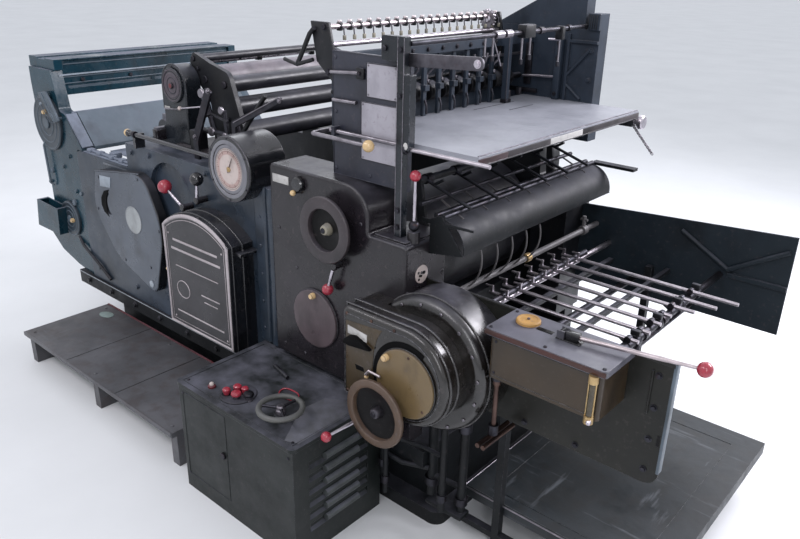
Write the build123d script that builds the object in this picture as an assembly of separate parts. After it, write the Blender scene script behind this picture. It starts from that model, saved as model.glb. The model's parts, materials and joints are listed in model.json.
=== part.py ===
from build123d import *
import os

# Flat-bed cylinder press for die cutting, modelled at full size in millimetres.
# X runs along the machine towards the delivery, Y away from the operator, Z up.
# The origin lies on the floor under the middle of the bed.

# Clearance between a turning or sliding piece and its seat
running_gap = 0.3

# Bed
bed_left, bed_right = -960.0, 1000.0
bed_half = 420.0
bed_height = 300.0
foot_height = 50.0
foot_spread_x, foot_spread_y = 40.0, 60.0
flange_left = -1150.0
flange_height = 60.0
flange_overhang = 10.0

# Side frames, with a ledge along the operator's side
inner_half = 445.0
wall = 65.0
outer_half = inner_half + wall
panel_near, panel_far = -inner_half - 1.0, inner_half + 49.0
frame_left, frame_right = -1030.0, 935.0
frame_corner = 30.0
shelf_top = 905.0
ledge_left = -600.0
ledge_top = 1010.0
ledge_thickness = 25.0
ledge_inner = 240.0
recess_x, recess_z = -305.0, 838.0
recess_radius = 140.0
recess_depth = 22.0
column_left = 228.0
column_width = 62.0
column_depth = 16.0
column_bottom = 430.0
half_round_radius = 24.0
half_round_space = 4.0

# Housing beside the cylinder
housing_left, housing_right = 350.0, 788.0
housing_stand = 40.0
housing_front = -outer_half - housing_stand
housing_back = 45.0 - inner_half
housing_top, housing_bottom = 1110.0, 440.0
shoulder_radius = 95.0
housing_round = 10.0
block_top = 972.0
block_back = housing_back + 30.0
block_round = 14.0
lid_height = 8.0
lid_margin = 12.0
lever_boss_x = 920.0
lever_boss_y = housing_front + 50.0
lever_boss_radius = 18.0
lever_boss_height = 34.0

# Stepped gear housing, its flat cover and the round covers
gear_x, gear_z = 1045.0, 655.0
gear_radius = 204.0
gear_front = housing_front - 40.0
gear_round = 26.0
cover_radius = 148.0
cover_left = 808.0
cover_front = gear_front - 90.0
cover_round = 16.0
cover_corner = 24.0
gear_disc_offset = 12.0
gear_disc_radius = 102.0
disc_thickness = 12.0
disc_round = 3.0
inspection_x, inspection_z = 560.0, 628.0
inspection_radius = 100.0
end_disc_x, end_disc_z = -1262.0, 992.0
end_disc_radius = 126.0
low_disc_x, low_disc_z = -1176.0, 551.0
low_disc_radius = 85.0
knob_radius = 9.0
knob_height = 14.0

# Handwheels
wheel_radius = 104.0
wheel_thickness = 15.0
wheel_dish = 26.0
wheel_web = 4.0
wheel_hub_radius = 20.0
wheel_shaft_radius = 12.0
upper_wheel_x, upper_wheel_z = 652.0, 966.0
upper_wheel_front = housing_front - 52.0
upper_wheel_rim = 38.0
lower_wheel_x, lower_wheel_z = 987.0, 538.0
lower_wheel_front = cover_front - 58.0
lower_wheel_rim = 24.0
speed_wheel_x, speed_wheel_y = 680.0, -815.0
speed_wheel_rise = 42.0
speed_wheel_radius = 75.0
speed_wheel_rim = 9.0
speed_hub_radius = 16.0
speed_spoke_radius = 5.0
speed_boss_radius = 22.0
speed_boss_height = 22.0

# Levers with ball ends
ball_radius = 21.0
small_ball_radius = 18.5
lever_radius = 6.0
lever_boss_size = 14.0
lever_boss_depth = 8.0
housing_lever_pivot, housing_lever_end = (672.0, 851.0), (642.0, 764.0)
housing_lever_space = 26.0
side_lever_pivot, side_lever_end = (-160.0, 843.0), (-272.0, 901.0)
black_lever_pivot, black_lever_end = (-66.0, 890.0), (-58.0, 973.0)
frame_lever_space = 40.0
ledge_lever_length = 145.0
foot_lever_x, foot_lever_z = 905.0, 466.0
foot_lever_y = housing_front - 38.0
foot_lever_width = 28.0
foot_lever_end = (861.0, housing_front - 250.0, 436.0)
ear_thickness = 6.0
ear_half = 14.0

# Name plate cover
plate_left, plate_right = -205.0, 193.0
plate_bottom, plate_shoulder = 385.0, 790.0
plate_apex = 861.0
plate_front = -outer_half - 110.0
plate_rim = 12.0
plate_inset = 4.0
plate_thickness = 2.5
cover_wall = 8.0

# Dial on its round housing
dial_x, dial_z = 188.0, 1062.0
dial_radius = 112.0
dial_front, dial_back = -outer_half - 78.0, 15.0 - inner_half
dial_face_radius = 84.0
dial_face_depth = 6.0
dial_face_thickness = 4.0

# Teardrop cover
teardrop_corners = (
    (-806.0, 862.0), (-432.0, 920.0), (-318.0, 700.0),
    (-415.0, 398.0), (-700.0, 498.0), (-858.0, 690.0),
)
teardrop_rounds = (18.0, 110.0, 240.0, 45.0, 200.0, 150.0)
teardrop_thickness = 40.0
teardrop_round = 8.0
slot_x, slot_z = -742.0, 735.0
slot_radius = 62.0
slot_width = 20.0

# Inking end
ink_half = outer_half - 5.0
ink_thickness = 55.0
ink_shelf_end = -985.0
ink_front_corners = ((-1147.0, 1060.0), (-1105.0, 1051.0), (ink_shelf_end, shelf_top + 5.0))
ink_back_corners = (
    (-1172.0, bed_height + 15.0), (-1323.0, 356.0), (-1438.0, 440.0), (-1430.0, 560.0),
    (-1340.0, 604.0), (-1345.0, 830.0), (-1372.0, 1000.0),
)
ink_rounds = {3: 20.0, 4: 12.0, 10: 60.0, 11: 25.0, 12: 20.0, 13: 15.0}
hood_left, hood_right = -1385.0, -1182.0
hood_bottom, hood_top = 1160.0, 1272.0
hood_sheet = 12.0
hood_lip = 6.0
hood_lip_side = 15.0
hood_lip_half = 490.0
hood_groove_width = 70.0
hood_rail_height = 28.0
hood_rail_space = 12.0
hood_hanger_width = 20.0
hood_end_height = 40.0
tray_top, tray_bottom = 607.0, 470.0
tray_corners = (
    (-1405.0, tray_top), (-1200.0, tray_top - 6.0), (-1215.0, tray_bottom), (-1432.0, tray_bottom)
)
tray_depth = 55.0
tray_sheet = 5.0
guard_strap_gap = 16.0
guard_strap_thickness = 10.0
guard_stud_radius = 6.0
guard_stud_place = (-1135.0, 1030.0)
strap_corners = ((-1277.0, 1129.0), (-1204.0, 1142.0), (-1118.0, 1023.0), (-1164.0, 1008.0))
apron_corners = (
    (-1105.0, 1051.0), (-1097.0, 1057.0), (-975.0, 921.0), (-975.0, shelf_top),
    (ink_shelf_end, shelf_top),
)
ink_frame_space = 0.5

# Small arched gearbox on the ledge
arch_x = -355.0
arch_radius = 77.0
arch_axis_z = 1256.0
arch_front, arch_back = 25.0 - inner_half, 95.0 - inner_half
arch_foot = 150.0
arch_foot_height = 100.0
arch_disc_radius = 62.0
arch_disc_height = 6.0
motor_x = -565.0
motor_radius = 38.0
motor_front, motor_back = arch_back, arch_back + 95.0

# Rollers over the bed and the brackets that hold them
roller_x, roller_z = -250.0, 1284.0
roller_radius = 48.0
roller_end_gap = 5.0
roller_shaft = 14.0
bracket_inner = inner_half - 120.0
bracket_thickness = 20.0
bracket_corners = (
    (-215.0, ledge_top), (-225.0, 1200.0), (-300.0, 1270.0), (-345.0, 1340.0), (-320.0, 1378.0),
    (-215.0, 1345.0), (-110.0, 1320.0), (-50.0, 1160.0), (20.0, ledge_top),
)
bracket_rounds = {1: 50.0, 3: 14.0, 4: 14.0, 6: 40.0, 7: 60.0}
fixed_roller_places = (
    (-170.0, 1180.0, 38.0), (-135.0, 1275.0, 30.0), (-95.0, 1100.0, 38.0), (-320.0, 1353.0, 15.0)
)
link_plate_y = -inner_half - 7.0
link_plate_thickness = 10.0
long_link_corners = ((52.0, 1158.0), (312.0, 1282.0), (322.0, 1306.0), (48.0, 1184.0))
long_link_foot = (50.0, 70.0)
short_link_corners = ((-190.0, 1090.0), (-160.0, 1080.0), (-60.0, 1270.0), (-90.0, 1285.0))
short_link_foot = (-190.0, -160.0)

# Impression cylinder and the flat bed under it
cylinder_x, cylinder_z = 560.0, 790.0
cylinder_radius = 222.0
cylinder_half = 365.0
cylinder_shaft = 60.0
gripper_gap_width = 120.0
gripper_gap_depth = 40.0
flat_bed_left, flat_bed_right = -920.0, 740.0
flat_bed_half = 380.0
flat_bed_gap = 8.0
flat_bed_thickness = 60.0
bearer_width, bearer_height = 22.0, 5.0
runner_width = 60.0
runner_offset = 260.0

# Control rod over the ledge
control_rod_z = 1066.0
control_rod_space = 26.0
control_rod_left, control_rod_right = -515.0, 60.0
control_rod_radius = 8.0
control_ball_radius = 14.0

# Feeder side plate, post and arm
table_half = inner_half + 32.0
side_plate_left, side_plate_right = 588.0, 885.0
side_plate_top = 1474.0
side_plate_thickness = 13.0
side_plate_face = -table_half - side_plate_thickness
side_plate_height = side_plate_top - housing_top
light_plate_thickness = 3.0
upper_plate_share = (0.68, 0.94)
lower_plate_share = (0.18, 0.64)
upper_plate_reach, lower_plate_reach = (132.0, 17.0), 153.0
post_x = 871.0
post_size = 25.0
post_rise = 59.0
post_head_length = 57.0
strut_width = 22.0
strut_drop = 37.0
strut_length = 201.0
arm_end_x = 1122.0
arm_radius = 17.0
arm_rise = 11.0
arm_thickness = 8.0

# Feed table, its rails and the finger comb
table_top = 1249.0
table_left, table_right = 640.0, 1110.0
table_thickness = 14.0
table_lip, table_lip_height = 12.0, 26.0
rail_radius = 8.0
grip_rail_x = 557.0
grip_rail_rise = 60.0
grip_rail_far = 390.0
grip_count = 20
grip_pitch = 42.0
grip_width = 14.0
grip_drop, grip_lift = 26.0, 14.0
rail_bracket_thickness = 12.0
rail_bracket_reach, rail_bracket_drop = 60.0, 94.0
tie_rail_rise = 11.0
front_rail_x, front_rail_rise = 882.0, 41.0
front_rail_radius = 7.0
stay_end_x = 1165.0
stay_radius = 6.0
finger_x = 650.0
finger_count = 7
finger_pitch = 75.0
first_finger = -225.0
finger_width, finger_depth = 16.0, 10.0
finger_foot_width = 22.0
finger_foot_share = 0.4
gauge_x, gauge_y = 696.0, 262.0
gauge_width, gauge_rise = 20.0, 14.0
comb_beam_height, comb_beam_depth = 30.0, 18.0

# Feed rolls on a shaft behind the fingers
feed_roll_x, feed_roll_z = 612.0, 1318.0
feed_roll_radius, feed_roll_width = 32.0, 34.0
feed_roll_count = 11
feed_shaft_radius = 11.0

# Crank handle through the feeder side plate
crank_z = housing_top + 0.37 * side_plate_height
crank_left, crank_end = 585.0, 805.0
crank_reach = 72.5
crank_radius, crank_arm_radius = 7.0, 6.5
crank_ball_radius = 17.0
crank_lug_x = 610.0
crank_lug_width, crank_lug_height = 12.0, 28.0

# Tower on the far side
tower_left, tower_right = 430.0, 930.0
tower_rise = 28.0
tower_thickness = 60.0
tower_head_height = 55.0
tower_head_width = 45.0
tower_bar = 10.0
tower_bar_inset = 118.0
brace_drop, brace_inset = 34.0, 25.0
brace_starts = (30.0, 50.0)
tower_hood_left, tower_hood_gap = 512.0, 15.0
tower_hood_knees = ((700.0, 108.0), (770.0, 143.0))
tower_hood_lip, tower_hood_rise = 8.0, 148.0
tower_hood_rounds = {2: 40.0, 4: 30.0}

# Delivery guard, its stripper fingers and the cross bar below
guard_half = inner_half - 3.0
guard_sheet = 4.0
guard_x, guard_z = 974.0, 958.0
guard_radius = 84.0
guard_tube_radius = 8.0
guard_tube_space = 26.0
cheek_thickness = 4.0
cheek_drop, cheek_low_drop, cheek_rise = 30.0, 10.0, 10.0
cheek_round = 14.0
near_strip_corners = ((905.0, 1018.0), (905.0, 1032.0), (1087.0, 1034.0), (1087.0, 1028.0))
far_plate_end = 1137.0
far_plate_width = 36.0
stripper_x, stripper_z = 834.0, 1112.0
stripper_bar_radius = 11.0
stripper_radius = 5.0
stripper_half = 380.0
stripper_foot = 35.0
stripper_count = 6
stripper_pitch = 140.0
stripper_tip = (1008.0, 1058.0)
cross_bar_x, cross_bar_z = 1000.0, 805.0
cross_bar_radius = 10.0
clamp_y = panel_far - 106.0
clamp_height = 54.0
clamp_radius = 7.0
wire_count = 5
wire_pitch = 82.0
first_wire = -335.0
wire_radius = 3.0
wire_top = (1040.0, 935.0)

# Delivery panels, rods and rod carrier
panel_sheet = 6.0
panel_right = 1694.0
panel_top, panel_bottom = 853.0, 500.0
far_panel_top = (872.0, 922.0)
far_panel_bottom = 575.0
far_rail_z, far_rail_height = 742.0, 16.0
far_rail_depth = 10.0
brace_radius = 8.0
brace_corners = ((1325.0, 860.0), (1500.0, 760.0), (1680.0, 870.0))
rod_count = 7
rod_pitch = 74.7
rod_radius = 6.0
rod_z = 757.0
rod_left = 1010.0
rod_overrun, rod_step = 30.0, 40.0
rod_shaft_x, rod_shaft_radius = 1060.0, 10.0
hook_height, hook_length = 24.0, 24.0
hook_radius, hook_tip_radius = 4.0, 3.5
hook_spacing = 56.0
carrier_x = 1476.0
carrier_near = -262.0
carrier_radius = 12.0
collar_radius = 17.0
collar_length = 28.0
collar_count, collar_pitch = 5, 130.0
stem_y, stem_radius, stem_length = -150.0, 8.0, 90.0

# Lever box on the near panel
box_left, box_right = 1250.0, 1590.0
box_front = panel_near - 159.0
box_top, box_bottom = 856.0, 712.0
box_lid_height = 18.0
box_overhang = 12.0
box_round = 10.0
filler_x, filler_y = 1318.0, panel_near - 59.0
filler_radius, filler_height = 32.0, 9.0
box_lever_x, box_lever_y = 1425.0, panel_near - 70.0
box_lever_rise = 13.0
box_lever_head = (47.0, 22.0, 20.0)
box_lever_end = (1760.0, panel_near - 22.0, 875.0)
sight_radius, sight_fitting_radius, sight_fitting_height = 8.0, 11.0, 18.0

# Delivery stand with the pile board
stand_x = 1235.0
stand_size = 25.0
stand_top = 700.0
stand_rail_top = 70.0
stand_rail_size = 20.0
stand_rail_left, stand_rail_right = 1090.0, 1700.0
board_left, board_right = 1100.0, 1745.0
board_top = 177.0
board_thickness = 28.0
board_rim, board_rim_drop = 16.0, 14.0

# Crank rod of the hoist under the lever box
hoist_x, hoist_y = 1272.0, panel_near - 114.0
hoist_bottom = 500.0
hoist_radius = 7.0
hoist_collar_radius, hoist_collar_length = 11.0, 35.0
hoist_handle_reach, hoist_handle_back = 60.0, 90.0
hoist_handle_gap = 18.0

# Control cabinet and step board on the floor
cabinet_left, cabinet_right = 255.0, 820.0
cabinet_front = -894.0
cabinet_height = 420.0
cabinet_top_plate = 12.0
cabinet_lip = 8.0
cabinet_corner = 20.0
louvre_count = 6
louvre_pitch = 46.0
louvre_height, louvre_depth = 30.0, 9.0
louvre_margin = 60.0
first_louvre = 84.0
button_places = ((490.0, -836.0), (522.0, -812.0))
button_stem_radius, button_stem_height = 12.0, 16.0
button_radius, button_height = 17.0, 12.0
step_left, step_right = -1000.0, 150.0
step_front = -880.0
step_height = 150.0
step_plate = 20.0
step_leg, step_leg_inset = 40.0, 20.0


def block(x, y, z):
    """A box between two limits on each axis."""
    size = [max(v) - min(v) for v in (x, y, z)]
    middle = [(v[0] + v[1]) / 2 for v in (x, y, z)]
    return Pos(*middle) * Box(*size)


def centred(middle, width):
    """The two limits of a width about its middle."""
    return (middle - width / 2, middle + width / 2)


def rod(start, end, radius):
    """A round bar between two points."""
    along = Vector(*end) - Vector(*start)
    section = Plane(origin=start, z_dir=along.normalized()) * Circle(radius)
    return extrude(section, amount=along.length)


def ball(centre, radius):
    """A ball, turned so that no bar meets it at a pole or on its seam."""
    return Pos(*centre) * Rot(50, 0, 50) * Sphere(radius)


def outline(points, rounds=None):
    """A closed face in X and Z, with some corners rounded by index."""
    face = make_face(Polyline(*points, close=True))
    for index, radius in (rounds or {}).items():
        corner = face.vertices().sort_by_distance((*points[index], 0))[0]
        face = fillet(corner, radius)
    return face


def slab(face, y):
    """The face drawn in X and Z, made solid between two Y values."""
    low, high = min(y), max(y)
    standing = Plane(origin=(0, high, 0), x_dir=(1, 0, 0), z_dir=(0, -1, 0)) * face
    return extrude(standing, amount=high - low)


def disc(x, z, radius, y):
    """A disc or round bar along Y, between two Y values."""
    return rod((x, max(y), z), (x, min(y), z), radius)


def upright(x, y, radius, z):
    """A round bar along Z, between two Z values."""
    return rod((x, y, min(z)), (x, y, max(z)), radius)


def level(y, z, radius, x):
    """A round bar along X, between two X values."""
    return rod((min(x), y, z), (max(x), y, z), radius)


def round_front(shape, front, radius):
    """Round every edge that lies in the plane of the front face."""
    edges = [e for e in shape.edges() if abs(e.center().Y - front) < 0.01]
    edges = [e for e in edges if abs(e.bounding_box().size.Y) < 0.01]
    return fillet(edges, radius)


def turned(x, z, profile):
    """A piece turned about a line along Y from a profile of radius and Y."""
    return Pos(x, 0, z) * revolve(make_face(Polyline(*profile, close=True)), Axis.Y)


def both_sides(shape):
    """The shape and its mirror image in the machine's middle plane."""
    return [shape, mirror(shape, about=Plane.XZ)]


# Bed and side frames


def make_bed():
    body = block((bed_left, bed_right), (-bed_half, bed_half), (0, bed_height))
    foot_half = bed_half + foot_spread_y
    foot = block(
        (bed_left - foot_spread_x, bed_right + foot_spread_x),
        (-foot_half, foot_half),
        (0, foot_height),
    )
    foot = fillet(foot.edges().filter_by(Axis.Z), foot_spread_x)
    flange_half = outer_half + flange_overhang
    flange = block(
        (flange_left, bed_right),
        (-flange_half, flange_half),
        (bed_height - flange_height, bed_height),
    )
    return body + foot + flange


def frame_outline():
    points = [
        (frame_left, bed_height),
        (frame_left, shelf_top),
        (ledge_left, shelf_top),
        (ledge_left, ledge_top),
        (housing_left, ledge_top),
        (housing_left, bed_height),
    ]
    return outline(points, {1: frame_corner})


def side_frame():
    """One side frame with its ledge, as it stands on the operator's side."""
    ledge = block(
        (ledge_left, column_left),
        (-outer_half, -ledge_inner),
        (ledge_top - ledge_thickness, ledge_top),
    )
    return slab(frame_outline(), (-outer_half, -inner_half)) + ledge


def make_near_frame():
    column = block(
        (column_left, column_left + column_width),
        (-outer_half - column_depth, -outer_half),
        (column_bottom, ledge_top),
    )
    column = fillet(column.edges().filter_by(Axis.Z).sort_by(Axis.Y)[:2], column_depth * 0.6)
    half_round_x = column_left + column_width + half_round_space + half_round_radius
    half_round = upright(half_round_x, -outer_half, half_round_radius, (column_bottom, ledge_top))
    frame = side_frame() + column + half_round
    frame -= disc(recess_x, recess_z, recess_radius, (-outer_half, -outer_half + recess_depth))
    frame -= disc(dial_x, dial_z, dial_radius + running_gap, (dial_front, dial_back))
    return frame


def housing_outline():
    points = [
        (housing_left, housing_bottom),
        (housing_left, housing_top),
        (housing_right, housing_top),
        (housing_right, block_top),
        (frame_right, block_top),
        (frame_right, housing_bottom),
    ]
    return outline(points, {1: block_round, 2: shoulder_radius, 3: housing_round, 4: block_round})


def housing_body():
    """The rounded housing and the lower block behind its right shoulder."""
    body = slab(housing_outline(), (housing_front, housing_back))
    body = round_front(body, housing_front, housing_round)
    side = block((housing_right, frame_right), (housing_back, block_back), (housing_bottom, block_top))
    top_corner = side.edges().filter_by(Axis.Y).group_by(Axis.X)[-1].sort_by(Axis.Z)[-1]
    web = block((housing_left, frame_right), (-outer_half, -inner_half), (bed_height, housing_bottom))
    return body + fillet(top_corner, block_round) + web


def make_front_housing():
    lid = block(
        (housing_right + lid_margin, frame_right - lid_margin),
        (housing_front + lid_margin, block_back - lid_margin),
        (block_top, block_top + lid_height),
    )
    lid = fillet(lid.edges().filter_by(Axis.Z), lid_height)
    boss_z = (block_top, block_top + lever_boss_height)
    boss = upright(lever_boss_x, lever_boss_y, lever_boss_radius, boss_z)
    shape = housing_body() + lid + boss
    for side in (-1, 1):
        ear_x = foot_lever_x + side * (foot_lever_width + ear_thickness + 2 * running_gap) / 2
        shape += block(
            centred(ear_x, ear_thickness),
            (foot_lever_y - ear_half, housing_front),
            centred(foot_lever_z, 2 * ear_half),
        )
    return shape


def make_far_frame():
    return mirror(side_frame() + housing_body(), about=Plane.XZ)


def make_flat_bed():
    """The travelling bed with its side bearers, on two runners."""
    top = cylinder_z - cylinder_radius - flat_bed_gap
    x = (flat_bed_left, flat_bed_right)
    table = block(x, (-flat_bed_half, flat_bed_half), (top - flat_bed_thickness, top))
    for side in (-1, 1):
        bearer = centred(side * (flat_bed_half - bearer_width / 2), bearer_width)
        runner = centred(side * runner_offset, runner_width)
        table += block(x, bearer, (top, top + bearer_height))
        table += block(x, runner, (bed_height, top - flat_bed_thickness))
    return table


def make_cylinder():
    """The impression cylinder, with the gap for its grippers at the back."""
    body = disc(cylinder_x, cylinder_z, cylinder_radius, (-cylinder_half, cylinder_half))
    gap_outer = cylinder_x - cylinder_radius
    body -= block(
        (gap_outer, gap_outer + gripper_gap_depth),
        (-cylinder_half, cylinder_half),
        centred(cylinder_z, gripper_gap_width),
    )
    reach = -housing_back - running_gap
    return body + disc(cylinder_x, cylinder_z, cylinder_shaft, (-reach, reach))


# Gear housing and round covers


def make_gear_housing():
    profile = [
        (0, gear_front),
        (gear_radius, gear_front),
        (gear_radius, panel_near - panel_sheet),
        (0, panel_near - panel_sheet),
    ]
    drum = round_front(turned(gear_x, gear_z, profile), gear_front, gear_round)
    beside_frame = block((0, frame_right), (housing_front, 0), (0, housing_top))
    return drum - beside_frame


def make_gear_cover():
    top, low = gear_z + cover_radius, gear_z - cover_radius
    points = [(cover_left, low), (cover_left, top), (gear_x, top), (gear_x, low)]
    flat_part = outline(points, {0: cover_corner, 1: cover_corner})
    round_end = Pos(gear_x, gear_z) * Circle(cover_radius)
    cover = slab(flat_part + round_end, (cover_front, gear_front))
    cover = round_front(cover, cover_front, cover_round)
    skirt = slab(flat_part, (gear_front, housing_front))
    skirt -= disc(gear_x, gear_z, gear_radius, (gear_front, housing_front))
    return cover + skirt


def cover_disc(x, z, radius, seat, knob):
    """A flat round cover on its seat, with a small knob at an offset."""
    front = seat - disc_thickness
    plate = round_front(disc(x, z, radius, (front, seat)), front, disc_round)
    return plate + disc(x + knob[0], z + knob[1], knob_radius, (front - knob_height, front))


def make_round_covers():
    gear_disc_x, gear_disc_z = gear_x + gear_disc_offset, gear_z - gear_disc_offset
    top_knob = (0, inspection_radius * 0.84)
    gear_knob = (-gear_disc_radius * 0.62, gear_disc_radius * 0.62)
    end_knob = (0, end_disc_radius * 0.4)
    low_knob = (low_disc_radius * 0.4, 0)
    return Compound(
        children=[
            cover_disc(inspection_x, inspection_z, inspection_radius, housing_front, top_knob),
            cover_disc(gear_disc_x, gear_disc_z, gear_disc_radius, cover_front, gear_knob),
            cover_disc(end_disc_x, end_disc_z, end_disc_radius, -ink_half, end_knob),
            cover_disc(low_disc_x, low_disc_z, low_disc_radius, -ink_half, low_knob),
        ]
    )


# Name plate cover, dial and teardrop cover


def arched_face(inset=0.0):
    left, right = plate_left + inset, plate_right - inset
    low, side = plate_bottom + inset, plate_shoulder - inset * 0.4
    middle = (left + right) / 2
    edges = [
        Line((left, side), (left, low)),
        Line((left, low), (right, low)),
        Line((right, low), (right, side)),
        ThreePointArc((right, side), (middle, plate_apex - inset), (left, side)),
    ]
    return make_face(Curve() + edges)


def make_name_cover():
    shell = round_front(slab(arched_face(), (plate_front, -outer_half)), plate_front, plate_rim / 2)
    shell -= slab(arched_face(cover_wall), (plate_front + cover_wall, -outer_half))
    return shell - slab(arched_face(plate_rim), (plate_front, plate_front + plate_inset))


def make_name_plate():
    back = plate_front + plate_inset
    return slab(arched_face(plate_rim), (back - plate_thickness, back))


def make_dial_housing():
    drum = disc(dial_x, dial_z, dial_radius, (dial_front, dial_back))
    drum = round_front(drum, dial_front, cover_wall)
    return drum - disc(dial_x, dial_z, dial_face_radius, (dial_front, dial_front + dial_face_depth))


def make_dial_face():
    back = dial_front + dial_face_depth
    return disc(dial_x, dial_z, dial_face_radius, (back - dial_face_thickness, back))


def make_teardrop_cover():
    front = -outer_half - teardrop_thickness
    face = outline(teardrop_corners, dict(enumerate(teardrop_rounds)))
    shape = round_front(slab(face, (front, -outer_half)), front, teardrop_round)
    ring = Circle(slot_radius + slot_width / 2) - Circle(slot_radius - slot_width / 2)
    left_part = Pos(-slot_radius) * Rectangle(slot_radius, slot_radius * 1.6)
    slot = Pos(slot_x + slot_radius, slot_z) * (ring & left_part)
    return shape - slab(slot, (front, front + teardrop_round))


# Inking end


def make_ink_frames():
    top = hood_top - hood_end_height
    points = [
        (hood_left, hood_bottom),
        (hood_left, top),
        (hood_right, top),
        *ink_front_corners,
        (ink_shelf_end, shelf_top),
        (frame_left, shelf_top),
        (frame_left, bed_height),
        *ink_back_corners,
    ]
    face = outline(points, ink_rounds)
    return Compound(children=both_sides(slab(face, (-ink_half, -ink_half + ink_thickness))))


def make_hood():
    """The long cover over the inking end, with a groove in its top."""
    inner = (ink_thickness - ink_half, ink_half - ink_thickness)
    sheet = block((hood_left, hood_right), inner, (hood_bottom, hood_top))
    inside_x = (hood_left + hood_sheet, hood_right - hood_sheet)
    sheet -= block(inside_x, inner, (hood_bottom, hood_top - hood_sheet))
    lip_x = (hood_left - hood_lip_side, hood_right + hood_lip_side)
    lip_y = (-hood_lip_half, hood_lip_half)
    lip_z = (hood_top, hood_top + hood_lip)
    lid = block(lip_x, lip_y, (hood_top - hood_end_height, hood_top + hood_lip))
    lid -= block(lip_x, inner, (hood_top - hood_end_height, hood_top))
    lid -= block(centred((hood_left + hood_right) / 2, hood_groove_width), lip_y, lip_z)
    front_x = (hood_right - hood_sheet, hood_right)
    rail_top = hood_bottom - hood_rail_space
    rail = block(front_x, inner, (rail_top - hood_rail_height, rail_top))
    reach = inner[1] - hood_hanger_width / 2
    for y in (-reach, 0, reach):
        rail += block(front_x, centred(y, hood_hanger_width), (rail_top, hood_bottom))
    return sheet + lid + rail


def make_end_tray():
    outer = outline(tray_corners)
    front = -ink_half - tray_depth
    tray = slab(outer, (front, -ink_half))
    inside_y = (front + tray_sheet, -ink_half - tray_sheet)
    tray -= slab(offset(outer, -tray_sheet), inside_y)
    mouth_x = (tray_corners[0][0] + 3 * tray_sheet, tray_corners[1][0] - 3 * tray_sheet)
    tray -= block(mouth_x, inside_y, (tray_top - 3 * tray_sheet, tray_top))
    disc_y = (-ink_half - disc_thickness - running_gap, -ink_half)
    return tray - disc(low_disc_x, low_disc_z, low_disc_radius + running_gap, disc_y)


def make_ink_guards():
    """A slanted strap on its stud beside the end disc, and the apron sheet."""
    back = -ink_half - guard_strap_gap
    guard = slab(outline(strap_corners), (back - guard_strap_thickness, back))
    guard += disc(*guard_stud_place, guard_stud_radius, (back, -ink_half))
    inner = ink_half - ink_thickness - ink_frame_space
    return Compound(children=[guard, slab(outline(apron_corners), (-inner, inner))])


# Pieces on the ledge


def make_arch_box():
    left, right = arch_x - arch_radius, arch_x + arch_radius
    foot_top = ledge_top + arch_foot_height
    edges = [
        Line((left, arch_axis_z), (left, foot_top)),
        Line((left, foot_top), (arch_x - arch_foot, ledge_top)),
        Line((arch_x - arch_foot, ledge_top), (right, ledge_top)),
        Line((right, ledge_top), (right, arch_axis_z)),
        ThreePointArc((right, arch_axis_z), (arch_x, arch_axis_z + arch_radius), (left, arch_axis_z)),
    ]
    shape = slab(make_face(Curve() + edges), (arch_front, arch_back))
    shape = round_front(shape, arch_front, arch_disc_height)
    shape += disc(arch_x, arch_axis_z, arch_disc_radius, (arch_front - arch_disc_height, arch_front))
    motor_z = ledge_top + motor_radius
    motor = disc(motor_x, motor_z, motor_radius, (motor_front, motor_back))
    motor += block(centred(motor_x, motor_radius), (motor_front, motor_back), (ledge_top, motor_z))
    return Compound(children=[shape, motor])


def make_roller_brackets():
    face = outline(bracket_corners, bracket_rounds)
    face -= Pos(roller_x, roller_z) * Circle(roller_shaft + running_gap)
    plate = slab(face, (-bracket_inner - bracket_thickness, -bracket_inner))
    return Compound(children=both_sides(plate))


def make_ink_roller():
    half = bracket_inner - roller_end_gap
    reach = bracket_inner + bracket_thickness
    roll = disc(roller_x, roller_z, roller_radius, (-half, half))
    return roll + disc(roller_x, roller_z, roller_shaft, (-reach, reach))


def make_fixed_rollers():
    reach = (-bracket_inner, bracket_inner)
    return Compound(children=[disc(x, z, radius, reach) for x, z, radius in fixed_roller_places])


def make_link_plates():
    """Slanted flat links beside the rollers, on feet on the ledge."""
    y = (link_plate_y - link_plate_thickness, link_plate_y)
    links = []
    for corners, foot_x in ((long_link_corners, long_link_foot), (short_link_corners, short_link_foot)):
        link = outline(corners, {i: link_plate_thickness * 0.8 for i in range(4)})
        foot_top = corners[0][1] + link_plate_thickness
        links.append(slab(link, y) + block(foot_x, y, (ledge_top, foot_top)))
    return Compound(children=links)


def make_control_rod():
    y = -outer_half - control_rod_space
    z = control_rod_z
    bar = level(y, z, control_rod_radius, (control_rod_left, control_rod_right))
    bar += ball((control_rod_left, y, z), control_ball_radius)
    foot = 2 * control_rod_radius
    for x in (control_rod_left + 2 * foot, control_rod_right - foot):
        bar += block(centred(x, foot), (y, -outer_half + foot), (ledge_top, z))
    return bar


# Feeder


def make_side_plate():
    face_y = side_plate_face
    x = (side_plate_left, side_plate_right)
    body = block(x, (face_y, -table_half), (housing_top, side_plate_top))
    lug_x = centred(crank_lug_x, crank_lug_width)
    lug = block(lug_x, (face_y - post_size, face_y), centred(crank_z, crank_lug_height))
    return body + lug - level(face_y - post_size / 2, crank_z, crank_radius + running_gap, lug_x)


def make_light_plates():
    y = (side_plate_face - light_plate_thickness, side_plate_face)
    post_left = post_x - post_size / 2
    upper_z = [housing_top + share * side_plate_height for share in upper_plate_share]
    lower_z = [housing_top + share * side_plate_height for share in lower_plate_share]
    upper = block((post_left - upper_plate_reach[0], post_left - upper_plate_reach[1]), y, upper_z)
    lower = block((post_left - lower_plate_reach, post_left), y, lower_z)
    return Compound(children=[upper, lower])


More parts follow.
